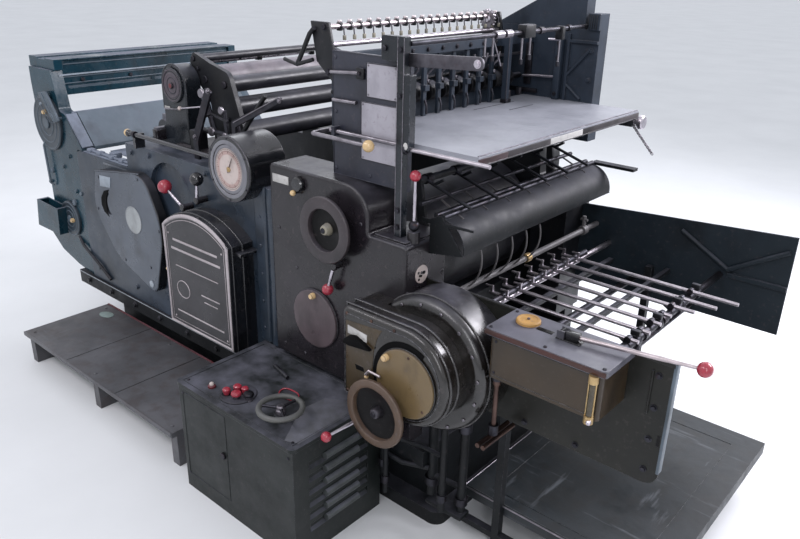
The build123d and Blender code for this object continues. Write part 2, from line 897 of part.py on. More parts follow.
def make_feeder_post():
    y = (side_plate_face - post_size, side_plate_face)
    left, right = centred(post_x, post_size)
    top = side_plate_top + post_rise
    body = block((left, right), y, (block_top + lid_height, top))
    head = block((left - post_head_length, left), y, (side_plate_top - ear_thickness, top))
    head = fillet(head.edges().filter_by(Axis.Y), ear_thickness)
    strut_top = side_plate_top - strut_drop
    strut = block((right, right + strut_width), y, (strut_top - strut_length, strut_top))
    return body + head + strut


def feeder_arm():
    """The flat arm with a round end that reaches over the feed table."""
    left = post_x + post_size / 2
    tip = arm_end_x - arm_radius
    tip_z = side_plate_top + arm_rise
    points = [
        (left, side_plate_top - arm_radius),
        (tip, tip_z - arm_radius),
        (tip, tip_z + arm_radius),
        (left, side_plate_top + arm_radius),
    ]
    face = outline(points) + Pos(tip, tip_z) * Circle(arm_radius)
    return slab(face, (side_plate_face - arm_thickness, side_plate_face))


def grip_rail():
    """The rear rail, with a row of small sheet grips, on two end brackets."""
    z = side_plate_top + grip_rail_rise
    near = side_plate_face
    shape = disc(grip_rail_x, z, rail_radius, (near, grip_rail_far))
    grip_x, grip_z = centred(grip_rail_x, grip_width), (z - grip_drop, z + grip_lift)
    for i in range(grip_count):
        y = grip_rail_far - grip_pitch / 2 - i * grip_pitch
        shape += block(grip_x, centred(y, grip_width), grip_z)
    points = [
        (grip_rail_x - rail_bracket_reach, z + grip_lift),
        (grip_rail_x + grip_width, z + grip_lift),
        (side_plate_left, side_plate_top),
        (side_plate_left, side_plate_top - rail_bracket_drop),
        (grip_rail_x - 0.7 * rail_bracket_reach, side_plate_top - 0.4 * rail_bracket_drop),
    ]
    bracket = outline(points, {i: rail_bracket_thickness for i in (0, 1, 4)})
    for y in (near, grip_rail_far - rail_bracket_thickness):
        shape += slab(bracket, (y, y + rail_bracket_thickness))
    return shape


def make_feeder_rails():
    inset = rail_bracket_thickness + running_gap
    tie_y = (side_plate_face + inset, grip_rail_far - inset)
    tie = disc(grip_rail_x + rail_radius, side_plate_top + tie_rail_rise, rail_radius, tie_y)
    front_z = side_plate_top + front_rail_rise
    front = disc(front_rail_x, front_z, front_rail_radius, (side_plate_face, table_half - tower_bar))
    stay_z = table_top - table_thickness + stay_radius / 2
    stay_x = (post_x + post_size / 2 + strut_width, stay_end_x)
    stay = level(side_plate_face - post_size / 2, stay_z, stay_radius, stay_x)
    return Compound(children=[feeder_arm(), grip_rail(), tie, front, stay])


def make_feed_table():
    y = (-table_half, table_half)
    top = block((table_left, table_right), y, (table_top - table_thickness, table_top))
    lip = block((table_right - table_lip, table_right), y, (table_top - table_lip_height, table_top))
    return top + lip


def make_finger_comb():
    """A row of upright fingers on a cross beam, and the side gauge's post."""
    beam = block(
        (finger_x, finger_x + comb_beam_depth),
        (-table_half, table_half),
        (side_plate_top - comb_beam_height, side_plate_top),
    )
    finger_z = (table_top, side_plate_top)
    foot_rise = finger_foot_share * (side_plate_top - table_top)
    foot_z = centred(table_top + foot_rise, comb_beam_depth)
    for i in range(finger_count):
        y = first_finger + i * finger_pitch
        beam += block((finger_x, finger_x + finger_depth), centred(y, finger_width), finger_z)
        beam += block((finger_x, finger_x + 2 * finger_depth), centred(y, finger_foot_width), foot_z)
    post_y = centred(gauge_y, gauge_width)
    beam += block(centred(gauge_x, gauge_width), post_y, (table_top, side_plate_top + gauge_rise))
    return beam + block((finger_x, gauge_x), post_y, (side_plate_top - comb_beam_height, side_plate_top))


def make_feed_rolls():
    """A row of rolls on one shaft, each behind the space between two fingers."""
    x, z = feed_roll_x, feed_roll_z
    shape = disc(x, z, feed_shaft_radius, (-table_half, table_half))
    for i in range(feed_roll_count):
        y = (i - (feed_roll_count - 1) / 2) * finger_pitch
        shape += disc(x, z, feed_roll_radius, centred(y, feed_roll_width))
    return shape


def make_crank_handle():
    y = side_plate_face - post_size / 2
    grip_y = y - crank_reach
    z = crank_z
    overrun = crank_radius
    shaft_end = post_x - post_size / 2 - running_gap
    bar = level(y, z, crank_radius, (crank_left - overrun, shaft_end))
    arm = disc(crank_left, z, crank_arm_radius, (y, grip_y))
    grip = level(grip_y, z, crank_radius, (crank_left - overrun, crank_end))
    return bar + arm + grip + ball((crank_end + crank_radius, grip_y, z), crank_ball_radius)


def make_far_tower():
    """The tall far plate, with the flat bars and braces on its inner face."""
    top = side_plate_top + tower_rise
    head_top = top + tower_head_height
    y = (table_half, table_half + tower_thickness)
    face = (table_half - tower_bar, table_half)
    bar_left = tower_right - tower_bar_inset
    shape = block((tower_left, tower_right), y, (housing_top, top))
    head_y = (table_half - tower_bar, table_half + tower_thickness)
    shape += block((tower_right - tower_head_width, tower_right), head_y, (top, head_top))
    shape += block((bar_left, bar_left + tower_bar), face, (table_top, side_plate_top + tower_bar))
    level_z = centred(side_plate_top - 1.4 * tower_bar, tower_bar)
    shape += block((bar_left + tower_bar, tower_right), face, level_z)
    middle = (table_top + side_plate_top) / 2
    ends = (
        (tower_right - brace_inset, side_plate_top - brace_drop),
        (tower_right - 2 * brace_inset, table_top + tower_bar),
    )
    brace_y = table_half - tower_bar / 2
    for drop, (x, z) in zip(brace_starts, ends):
        shape += rod((bar_left, brace_y, middle - drop), (x, brace_y, z), tower_bar / 2)
    return shape


def make_tower_hood():
    low = side_plate_top + tower_rise
    right = tower_right - tower_head_width - tower_hood_gap
    points = [
        (tower_hood_left, low),
        (tower_hood_left, low + tower_hood_lip),
        *[(x, low + rise) for x, rise in tower_hood_knees],
        (right, low + tower_hood_rise),
        (right, low),
    ]
    return slab(outline(points, tower_hood_rounds), (table_half, table_half + tower_thickness))


# Delivery


def make_guard():
    """The curved guard sheet between its end cheeks, with two tubes behind it."""
    top = guard_z + guard_radius
    ring = Pos(guard_x, guard_z) * (Circle(guard_radius) - Circle(guard_radius - guard_sheet))
    reach = guard_radius * 1.5
    points = [
        (guard_x, guard_z),
        (guard_x, guard_z + reach),
        (guard_x + reach, guard_z + reach),
        (guard_x + reach, guard_z - guard_radius / 6),
    ]
    shape = slab(ring & outline(points), (-guard_half, guard_half))
    corners = [
        (frame_right, guard_z - cheek_drop),
        (frame_right, top - guard_tube_radius),
        (guard_x, top + cheek_rise),
        (guard_x + guard_radius, guard_z - cheek_low_drop),
    ]
    cheek = outline(corners, {2: cheek_round})
    for y in (-guard_half - cheek_thickness, guard_half):
        shape += slab(cheek, (y, y + cheek_thickness))
    for x in (guard_x + guard_sheet, guard_x + guard_sheet - guard_tube_space):
        shape += disc(x, top + guard_sheet, guard_tube_radius, (-guard_half, guard_half))
    shape += slab(outline(near_strip_corners), (-guard_half - cheek_thickness, -guard_half))
    far_y = (guard_half, guard_half + far_plate_width)
    far_z = (top - guard_sheet / 2, top + 2 * guard_sheet)
    return shape + block((guard_x, far_plate_end), far_y, far_z)


def make_strippers():
    """Slanted fingers over the cylinder, on a bar across the machine."""
    bar = disc(stripper_x, stripper_z, stripper_bar_radius, (-stripper_half, stripper_half))
    for i in range(stripper_count):
        y = (i - (stripper_count - 1) / 2) * stripper_pitch
        bar += rod((stripper_x, y, stripper_z), (stripper_tip[0], y, stripper_tip[1]), stripper_radius)
        prong_z = (stripper_z - stripper_bar_radius, stripper_z + stripper_bar_radius)
        prong_start = (stripper_x + stripper_foot, y, prong_z[0])
        bar += rod(prong_start, (stripper_x + 2 * stripper_foot, y, prong_z[1]), stripper_radius)
    low, high = block_top, stripper_z - stripper_bar_radius / 2
    left, right = centred(stripper_x, 2 * stripper_bar_radius)
    foot_left, foot_right = stripper_x, stripper_x + stripper_foot
    foot = outline([(left, high), (right, high), (foot_right, low), (foot_left, low)])
    for y in (-stripper_half, stripper_half - stripper_bar_radius):
        bar += slab(foot, (y, y + stripper_bar_radius))
    return bar


def make_delivery_bar():
    """The cross bar below the guard, its clamp and the curved wires to it."""
    x, z = cross_bar_x, cross_bar_z
    bar = disc(x, z, cross_bar_radius, (panel_near, panel_far))
    bar += disc(x, z, collar_radius, centred(clamp_y, clamp_height / 2))
    bar += upright(x, clamp_y, clamp_radius, (z, z + clamp_height))
    handle_z = z + clamp_height - 2 * clamp_radius
    bar += level(clamp_y, handle_z, clamp_radius - 2, centred(x, clamp_height / 2))
    for i in range(wire_count):
        y = first_wire + i * wire_pitch
        top = (wire_top[0], y, wire_top[1])
        arc = ThreePointArc(top, (wire_top[0] + wire_radius, y, (wire_top[1] + z) / 2), (x, y, z))
        section = Plane(origin=arc @ 0, z_dir=arc % 0) * Circle(wire_radius)
        bar += sweep(section, path=arc)
    return bar


def make_delivery_rods():
    """Sheet rods on a shaft, each with two upright hooks at its left end."""
    shaft_z = rod_z - rod_radius - rod_shaft_radius + 1
    shape = disc(rod_shaft_x, shaft_z, rod_shaft_radius, (panel_near, panel_far))
    for i in range(rod_count):
        y = (i - (rod_count - 1) / 2) * rod_pitch
        end = carrier_x + rod_overrun + max(0, i - rod_count // 2) * rod_step
        shape += level(y, rod_z, rod_radius, (rod_left, end))
        for x in (rod_left + 2 * hook_radius, rod_left + 2 * hook_radius + hook_spacing):
            post = centred(x, 2 * hook_radius)
            shape += block(post, centred(y, 2 * hook_radius), (rod_z, rod_z + hook_height))
            tip_z = rod_z + hook_height - hook_radius
            shape += level(y, tip_z, hook_tip_radius, (x - hook_length, x))
    return shape


def make_carrier():
    z = rod_z - rod_radius - collar_radius - running_gap
    bar = disc(carrier_x, z, carrier_radius, (carrier_near, panel_far))
    for i in range(collar_count):
        y = carrier_near + collar_length / 2 + i * collar_pitch
        bar += disc(carrier_x, z, collar_radius, centred(y, collar_length))
    return bar + upright(carrier_x, stem_y, stem_radius, (z - stem_length, z))


def make_near_panel():
    points = [
        (frame_right, panel_bottom),
        (frame_right, panel_top),
        (panel_right, panel_top),
        (panel_right, panel_bottom),
    ]
    return slab(outline(points, {3: 40}), (panel_near - panel_sheet, panel_near))


def make_far_panel():
    """The far panel, with a flat rail and two slanted braces inside it."""
    points = [
        (frame_right, far_panel_bottom),
        (frame_right, far_panel_top[0]),
        (panel_right, far_panel_top[1]),
        (panel_right, far_panel_bottom),
    ]
    shape = slab(outline(points), (panel_far, panel_far + panel_sheet))
    rail_x = (carrier_x + collar_radius + 10, panel_right)
    shape += block(rail_x, (panel_far - far_rail_depth, panel_far), centred(far_rail_z, far_rail_height))
    y = panel_far - brace_radius * 0.9
    for start, end in zip(brace_corners, brace_corners[1:]):
        shape += rod((start[0], y, start[1]), (end[0], y, end[1]), brace_radius)
    return shape


def make_lever_box():
    body = block(
        (box_left + box_overhang, box_right - box_overhang),
        (box_front + box_overhang, panel_near - panel_sheet),
        (box_bottom, box_top - box_lid_height),
    )
    return fillet(body.edges().filter_by(Axis.Z).sort_by(Axis.Y)[:2], box_round)


def make_sight_glass():
    """Oil sight tube with its end fittings, on the corner of the lever box."""
    x = box_right - box_overhang - 16
    y = box_front + box_overhang - sight_fitting_radius
    top = box_top - box_lid_height
    tube = upright(x, y, sight_radius, (box_bottom, top))
    for z in (box_bottom - disc_round, top - sight_fitting_height):
        tube += upright(x, y, sight_fitting_radius, (z, z + sight_fitting_height))
    return tube


def make_box_lid():
    back = panel_near - panel_sheet
    lid = block((box_left, box_right), (box_front, back), (box_top - box_lid_height, box_top))
    lid = fillet(lid.edges().filter_by(Axis.Z).sort_by(Axis.Y)[:2], box_overhang)
    ear_z = (box_top, box_top + box_lever_rise + box_lever_head[2] / 2)
    ear_offset = (box_lever_head[1] + cheek_thickness) / 2 + running_gap
    for y in (box_lever_y - ear_offset, box_lever_y + ear_offset):
        lid += block(centred(box_lever_x, box_lever_head[2]), centred(y, cheek_thickness), ear_z)
    filler = upright(filler_x, filler_y, filler_radius, (box_top, box_top + filler_height))
    return lid + fillet(filler.edges().group_by(Axis.Z)[-1], disc_round)


def make_box_lever():
    length, width, height = box_lever_head
    x, y, z = box_lever_x, box_lever_y, box_top + box_lever_rise
    head = block((x, x + length), centred(y, width), centred(z, height))
    head += disc(x, z, height / 2, centred(y, width))
    bar = rod((x + length, y, z), box_lever_end, lever_radius)
    return head + (bar + ball(box_lever_end, small_ball_radius))


def make_delivery_posts():
    """Two posts under the panels and the floor rails that carry them."""
    x = centred(stand_x, stand_size)
    stand = []
    for y in ((panel_near, panel_near + stand_size), (panel_far - stand_size, panel_far)):
        post = block(x, y, (0, stand_top))
        rail_z = (stand_rail_top - stand_rail_size, stand_rail_top)
        rail = block((stand_rail_left, stand_rail_right), y, rail_z)
        foot = block((stand_rail_right - stand_size, stand_rail_right), y, (0, stand_rail_top))
        stand.append(post + rail + foot)
    return Compound(children=stand)


def make_pile_board():
    near = panel_near + stand_size + running_gap
    far = panel_far - stand_size - running_gap
    x = (board_left, board_right)
    low = board_top - board_thickness
    board = block(x, (near, far), (low, board_top))
    rim = block(x, (near, far), (low - board_rim_drop, low))
    rim -= block(
        (board_left + board_rim, board_right - board_rim),
        (near + board_rim, far - board_rim),
        (low - board_rim_drop, low),
    )
    return board + rim


def make_hoist_crank():
    """An upright rod under the lever box, with a double bar as its handle."""
    z = hoist_bottom + hoist_radius
    crank = upright(hoist_x, hoist_y, hoist_radius, (hoist_bottom, box_bottom))
    collar_z = (box_bottom - hoist_collar_length, box_bottom)
    crank += upright(hoist_x, hoist_y, hoist_collar_radius, collar_z)
    handle_y = (hoist_y - hoist_handle_reach, hoist_y + hoist_handle_back)
    for side in (-1, 1):
        crank += disc(hoist_x + side * hoist_handle_gap / 2, z, hoist_radius, handle_y)
    return crank


# Operator's side on the floor


def make_step_board():
    back = -bed_half - foot_spread_y
    under = step_height - step_plate
    board = block((step_left, step_right), (step_front, back), (under, step_height))
    middle = (step_left + step_right) / 2
    for x in (step_left + step_leg / 2, middle, step_right - step_leg / 2):
        board += block(centred(x, step_leg), (step_front + step_leg_inset, back), (0, under))
    return board


def make_cabinet():
    back = -outer_half - flange_overhang
    body_top = cabinet_height - cabinet_top_plate
    body = block((cabinet_left, cabinet_right), (cabinet_front, back), (0, body_top))
    for i in range(louvre_count):
        z = first_louvre + i * louvre_pitch
        deep, slat_top = -louvre_depth, z + louvre_height
        slat = outline([(0, z), (deep, z + louvre_depth), (deep, slat_top), (0, slat_top)])
        cut = slab(slat, (cabinet_front + louvre_margin, back - louvre_margin))
        body -= Pos(cabinet_right, 0, 0) * cut
    top = block(
        (cabinet_left - cabinet_lip, cabinet_right + cabinet_lip),
        (cabinet_front - cabinet_lip, back),
        (body_top, cabinet_height),
    )
    top = fillet(top.edges().filter_by(Axis.Z).sort_by(Axis.Y)[:2], cabinet_corner)
    boss_z = (cabinet_height, cabinet_height + speed_boss_height)
    return body + top + upright(speed_wheel_x, speed_wheel_y, speed_boss_radius, boss_z)


def make_stop_buttons():
    buttons = []
    for x, y in button_places:
        head_z = cabinet_height + button_stem_height
        stem = upright(x, y, button_stem_radius, (cabinet_height, head_z))
        head = upright(x, y, button_radius, (head_z, head_z + button_height))
        buttons.append(stem + fillet(head.edges().group_by(Axis.Z)[-1], button_height / 2))
    return Compound(children=buttons)


# Handwheels and levers


def handwheel(x, z, front, rim, seat):
    """A flat rim, a dished web and a hub on its shaft, turned in one profile."""
    back = front + wheel_thickness
    deep = front + wheel_dish
    inside = wheel_radius - rim
    shaft_end = seat - running_gap
    profile = [
        (0, front + wheel_web),
        (wheel_hub_radius, front + wheel_web),
        (wheel_hub_radius, deep - wheel_web),
        (inside, deep - wheel_web),
        (inside, front),
        (wheel_radius, front),
        (wheel_radius, back),
        (inside + wheel_web, back),
        (inside + wheel_web, deep),
        (wheel_shaft_radius, deep),
        (wheel_shaft_radius, shaft_end),
        (0, shaft_end),
    ]
    return round_front(turned(x, z, profile), front, wheel_web)


def make_upper_wheel():
    return handwheel(upper_wheel_x, upper_wheel_z, upper_wheel_front, upper_wheel_rim, housing_front)


def make_lower_wheel():
    return handwheel(lower_wheel_x, lower_wheel_z, lower_wheel_front, lower_wheel_rim, cover_front)


def make_speed_wheel():
    x, y = speed_wheel_x, speed_wheel_y
    z = cabinet_height + speed_wheel_rise
    hub_bottom = cabinet_height + speed_boss_height + running_gap
    reach = speed_wheel_radius - speed_wheel_rim
    wheel = Pos(x, y, z) * Torus(reach, speed_wheel_rim)
    wheel += upright(x, y, speed_hub_radius, (hub_bottom, z + speed_wheel_rim))
    for angle in (90, 210, 330):
        spoke = Rot(0, 0, angle) * level(0, 0, speed_spoke_radius, (0, reach))
        wheel += Pos(x, y, z) * spoke
    return wheel


def ball_lever(pivot, end, seat, space, radius):
    """A lever beside its seat, on a boss, with a ball at its end."""
    x, z = pivot
    y = seat - space
    boss = disc(x, z, lever_boss_size, (y - lever_boss_depth, seat - running_gap))
    stick = rod((x, y, z), (end[0], y, end[1]), lever_radius)
    return boss + (stick + ball((end[0], y, end[1]), radius))


def make_housing_lever():
    pivot, end = housing_lever_pivot, housing_lever_end
    return ball_lever(pivot, end, housing_front, housing_lever_space, small_ball_radius)


def make_side_lever():
    return ball_lever(side_lever_pivot, side_lever_end, -outer_half, frame_lever_space, ball_radius)


def make_black_lever():
    pivot, end = black_lever_pivot, black_lever_end
    return ball_lever(pivot, end, -outer_half, frame_lever_space, small_ball_radius)


def make_ledge_lever():
    x, y = lever_boss_x, lever_boss_y
    base = block_top + lever_boss_height + running_gap
    knuckle = lever_boss_radius - 2
    low, high = base + knuckle, base + knuckle + ledge_lever_length
    stick = upright(x, y, lever_radius, (low, high))
    return ball((x, y, low), knuckle) + stick + ball((x, y, high), ball_radius)


def make_foot_lever():
    x, y, z = foot_lever_x, foot_lever_y, foot_lever_z
    barrel = level(y, z, ear_half - 2, centred(x, foot_lever_width))
    stick = rod((x, y, z), foot_lever_end, lever_radius + 1)
    return barrel + stick + ball(foot_lever_end, small_ball_radius)


nodes = {
    "bed": make_bed,
    "near_frame": make_near_frame,
    "far_frame": make_far_frame,
    "flat_bed": make_flat_bed,
    "impression_cylinder": make_cylinder,
    "front_housing": make_front_housing,
    "gear_housing": make_gear_housing,
    "gear_cover": make_gear_cover,
    "round_covers": make_round_covers,
    "name_plate_cover": make_name_cover,
    "name_plate": make_name_plate,
    "dial_housing": make_dial_housing,
    "dial_face": make_dial_face,
    "teardrop_cover": make_teardrop_cover,
    "inking_frames": make_ink_frames,
    "inking_hood": make_hood,
    "end_tray": make_end_tray,
    "ink_guards": make_ink_guards,
    "arch_gearbox": make_arch_box,
    "roller_brackets": make_roller_brackets,
    "ink_roller": make_ink_roller,
    "fixed_rollers": make_fixed_rollers,
    "link_plates": make_link_plates,
    "control_rod": make_control_rod,
    "feeder_side_plate": make_side_plate,
    "light_plates": make_light_plates,
    "feeder_post": make_feeder_post,
    "feeder_rails": make_feeder_rails,
    "feed_table": make_feed_table,
    "finger_comb": make_finger_comb,
    "feed_rolls": make_feed_rolls,
    "crank_handle": make_crank_handle,
    "far_tower": make_far_tower,
    "tower_hood": make_tower_hood,
    "delivery_guard": make_guard,
    "stripper_fingers": make_strippers,
    "delivery_bar": make_delivery_bar,
    "delivery_rods": make_delivery_rods,
    "rod_carrier": make_carrier,
    "near_side_panel": make_near_panel,
    "far_side_panel": make_far_panel,
    "lever_box": make_lever_box,
    "sight_glass": make_sight_glass,
    "box_lid": make_box_lid,
    "box_lever": make_box_lever,
    "delivery_posts": make_delivery_posts,
    "pile_board": make_pile_board,
    "hoist_crank": make_hoist_crank,
    "step_board": make_step_board,
    "control_cabinet": make_cabinet,
    "stop_buttons": make_stop_buttons,
    "upper_handwheel": make_upper_wheel,
    "lower_handwheel": make_lower_wheel,
    "speed_handwheel": make_speed_wheel,
    "housing_lever": make_housing_lever,
    "side_lever": make_side_lever,
    "black_lever": make_black_lever,
    "ledge_lever": make_ledge_lever,
    "foot_lever": make_foot_lever,
}

os.makedirs("parts", exist_ok=True)
for name, make in nodes.items():
    export_step(make(), f"parts/{name}.step")
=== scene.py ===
import json
import math
import random

import bmesh
import bpy
from mathutils import Matrix, Vector

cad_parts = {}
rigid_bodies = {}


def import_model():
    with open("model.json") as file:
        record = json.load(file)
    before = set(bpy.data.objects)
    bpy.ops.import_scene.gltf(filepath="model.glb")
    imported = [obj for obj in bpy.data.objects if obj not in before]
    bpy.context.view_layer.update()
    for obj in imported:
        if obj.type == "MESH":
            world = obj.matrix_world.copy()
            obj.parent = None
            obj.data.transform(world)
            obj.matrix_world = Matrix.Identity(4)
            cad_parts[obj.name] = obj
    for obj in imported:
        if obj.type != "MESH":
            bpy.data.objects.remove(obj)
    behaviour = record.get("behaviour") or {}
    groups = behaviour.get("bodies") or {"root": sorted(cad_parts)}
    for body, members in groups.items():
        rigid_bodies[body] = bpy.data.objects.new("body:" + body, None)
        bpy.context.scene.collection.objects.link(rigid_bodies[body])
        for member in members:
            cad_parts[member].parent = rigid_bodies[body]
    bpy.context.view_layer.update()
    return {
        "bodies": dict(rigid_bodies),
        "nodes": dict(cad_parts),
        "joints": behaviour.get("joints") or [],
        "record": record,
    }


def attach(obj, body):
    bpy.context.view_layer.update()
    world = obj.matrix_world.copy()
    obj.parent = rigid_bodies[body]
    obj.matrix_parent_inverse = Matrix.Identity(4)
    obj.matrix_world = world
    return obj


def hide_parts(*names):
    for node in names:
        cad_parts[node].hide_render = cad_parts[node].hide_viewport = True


# Every form is drawn in millimetres and turned into metres when its piece is made.

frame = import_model()
nodes = frame["nodes"]
scene = bpy.context.scene
scene.view_settings.view_transform = "Standard"
chance = random.Random(7)
MM = 0.001
NEAR, FAR = (0, -1, 0), (0, 1, 0)
LEFT, RIGHT = (-1, 0, 0), (1, 0, 0)
UP = (0, 0, 1)

# Faces towards the operator, tops, and centres in X and Z, that several pieces share.

INK_FRAME_FACE = -505
FRAME_FACE = -510
HOUSING_FACE = -550
GEAR_COVER_FACE = -680
GEAR_DISC_FACE = -692
DIAL_FACE = -588
ROUND_COVER_FACE = -517
INSPECTION_FACE = -562
NAME_PLATE_FACE = -618
SIDE_PLATE_FACE = -490
LIGHT_PLATE_FACE = -493
POST_FACE = -515
PANEL_FACE = -452
BOX_FACE = -593
CABINET_FACE = -894
BLOCK_TOP = 972
TABLE_TOP = 1249
BOX_LID_TOP = 856
CABINET_TOP = 420
STEP_TOP = 150
PILE_TOP = 176
GEAR_CENTRE = (1045, 655)
GEAR_DISC_CENTRE = (1057, 643)
DIAL_CENTRE = (188, 1062)
ARCH_CENTRE = (-355, 1256)
INK_ROLLER_CENTRE = (-250, 1284)
FRONT_RAIL = (882, 1515)


# Camera, floor and light

# The camera stands where the photograph's vanishing lines put it, with angles in degrees.

LENS = 33.77
CAMERA_PLACE = (2.2, -2.05, 1.72)
CAMERA_TURN = 40.6
CAMERA_TILT = 67.5
CAMERA_ROLL = 1.29


def make_camera():
    data = bpy.data.cameras.new("camera")
    data.sensor_width = 36
    data.lens = LENS
    camera = bpy.data.objects.new("camera", data)
    scene.collection.objects.link(camera)
    turn = Matrix.Rotation(math.radians(CAMERA_TURN), 4, "Z")
    tilt = Matrix.Rotation(math.radians(CAMERA_TILT), 4, "X")
    roll = Matrix.Rotation(math.radians(CAMERA_ROLL), 4, "Z")
    camera.matrix_world = Matrix.Translation(CAMERA_PLACE) @ (turn @ tilt) @ roll
    scene.camera = camera


def lamp(name, place, aim, size, power, tint):
    data = bpy.data.lights.new(name, "AREA")
    data.shape = "RECTANGLE"
    data.size, data.size_y = size
    data.energy = power
    data.color = tint
    light = bpy.data.objects.new(name, data)
    light.location = place
    light.rotation_mode = "QUATERNION"
    light.rotation_quaternion = (Vector(aim) - Vector(place)).to_track_quat("-Z", "Y")
    scene.collection.objects.link(light)


def make_world():
    """A soft sky for the light, and a pale background for what looks at it."""
    world = bpy.data.worlds.new("studio")
    world.use_nodes = True
    tree = world.node_tree
    tree.nodes.clear()

    def node(kind, *wires):
        made = tree.nodes.new(kind)
        for socket, source in wires:
            tree.links.new(source, made.inputs[socket])
        return made

    split = node("ShaderNodeSeparateXYZ", (0, node("ShaderNodeTexCoord").outputs["Generated"]))
    ramp = node("ShaderNodeValToRGB", (0, split.outputs["Z"]))
    ramp.color_ramp.elements[0].color = (0.28, 0.30, 0.33, 1)
    ramp.color_ramp.elements[1].position = 0.7
    ramp.color_ramp.elements[1].color = (0.90, 0.93, 1.0, 1)
    light = node("ShaderNodeBackground", ("Color", ramp.outputs[0]))
    seen = node("ShaderNodeBackground")
    seen.inputs["Color"].default_value = (0.93, 0.94, 1.0, 1)
    path = node("ShaderNodeLightPath")
    rays = node("ShaderNodeMath", (0, path.outputs["Is Camera Ray"]), (1, path.outputs["Is Glossy Ray"]))
    rays.operation = "MAXIMUM"
    rays = node("ShaderNodeMath", (0, rays.outputs[0]), (1, path.outputs["Is Transmission Ray"]))
    rays.operation = "MAXIMUM"
    mix = node("ShaderNodeMixShader", (0, rays.outputs[0]), (1, light.outputs[0]), (2, seen.outputs[0]))
    node("ShaderNodeOutputWorld", (0, mix.outputs[0]))
    scene.world = world


# Finishes


def hue(red, green, blue):
    """A colour as it looks on a screen, 0 to 255, in a shader's linear values."""
    values = [c / 255 for c in (red, green, blue)]
    return (*[v / 12.92 if v < 0.04 else ((v + 0.055) / 1.055) ** 2.4 for v in values], 1)


class Finish:
    """A material under construction, with short names for the nodes it uses."""

    def __init__(self, name, edge=0.003):
        self.material = bpy.data.materials.new(name)
        self.material.use_nodes = True
        self.tree = self.material.node_tree
        self.shader = self.tree.nodes["Principled BSDF"]
        self.where = self.node("ShaderNodeTexCoord").outputs["Object"]
        self.normal = self.node("ShaderNodeNewGeometry").outputs["Normal"]
        self.rounded = self.node("ShaderNodeBevel", {"Radius": edge}, samples=4).outputs[0]

    def node(self, kind, inputs=None, **settings):
        """A node with its settings, and a value or a wire for each of its inputs."""
        made = self.tree.nodes.new(kind)
        for key, value in settings.items():
            setattr(made, key, value)
        for name, value in (inputs or {}).items():
            self.feed(made.inputs[name], value)
        return made

    def feed(self, socket, value):
        if isinstance(value, bpy.types.NodeSocket):
            self.tree.links.new(value, socket)
        else:
            socket.default_value = value

    def give(self, name, value):
        self.feed(self.shader.inputs[name], value)

    def noise(self, scale, detail=5.0, stretch=(1, 1, 1), shift=0.0):
        """Noise over the object, with its pattern moved by a shift."""
        place = {"Vector": self.where, "Scale": stretch, "Location": (shift, shift * 0.7, shift * 1.3)}
        mapping = self.node("ShaderNodeMapping", place)
        grain = {"Vector": mapping.outputs[0], "Scale": scale, "Detail": detail, "Roughness": 0.62}
        return self.node("ShaderNodeTexNoise", grain).outputs["Fac"]

    def spread(self, value, low, high, top=1.0):
        """Stretch the values between low and high to 0 and top, clamped."""
        limits = {"Value": value, "From Min": low, "From Max": high, "To Max": top}
        return self.node("ShaderNodeMapRange", limits).outputs[0]

    def maths(self, operation, first, second):
        return self.node("ShaderNodeMath", {0: first, 1: second}, operation=operation).outputs[0]

    def mix(self, factor, first, second):
        """Two colours, mixed by a factor."""
        inputs = {"Factor": factor, 6: first, 7: second}
        return self.node("ShaderNodeMix", inputs, data_type="RGBA").outputs[2]

    def layer(self, noise, low, high, strength, below, above):
        """Another colour over what is below it, where the noise is high."""
        return self.mix(self.spread(noise, low, high, strength), below, above)

    def part(self, source, axis):
        return self.node("ShaderNodeSeparateXYZ", {0: source}).outputs[axis]

    def edges(self):
        """Close to 1 along edges, and 0 on flat and gently curved faces."""
        both = {0: self.rounded, 1: self.normal}
        dot = self.node("ShaderNodeVectorMath", both, operation="DOT_PRODUCT")
        return self.spread(self.maths("SUBTRACT", 1.0, dot.outputs["Value"]), 0.02, 0.22)

    def bumps(self, *layers):
        """Bumps over softened edges, each a height and its depth in metres."""
        below = self.rounded
        for height, depth in layers:
            inputs = {"Distance": depth, "Height": height, "Normal": below}
            below = self.node("ShaderNodeBump", inputs).outputs[0]
        self.give("Normal", below)


DUST_AND_SHEEN = hue(122, 122, 136)
GREASE = hue(9, 9, 9)
SPECK = hue(88, 78, 80)
STAIN = hue(70, 62, 66)
RUST = hue(96, 60, 46)


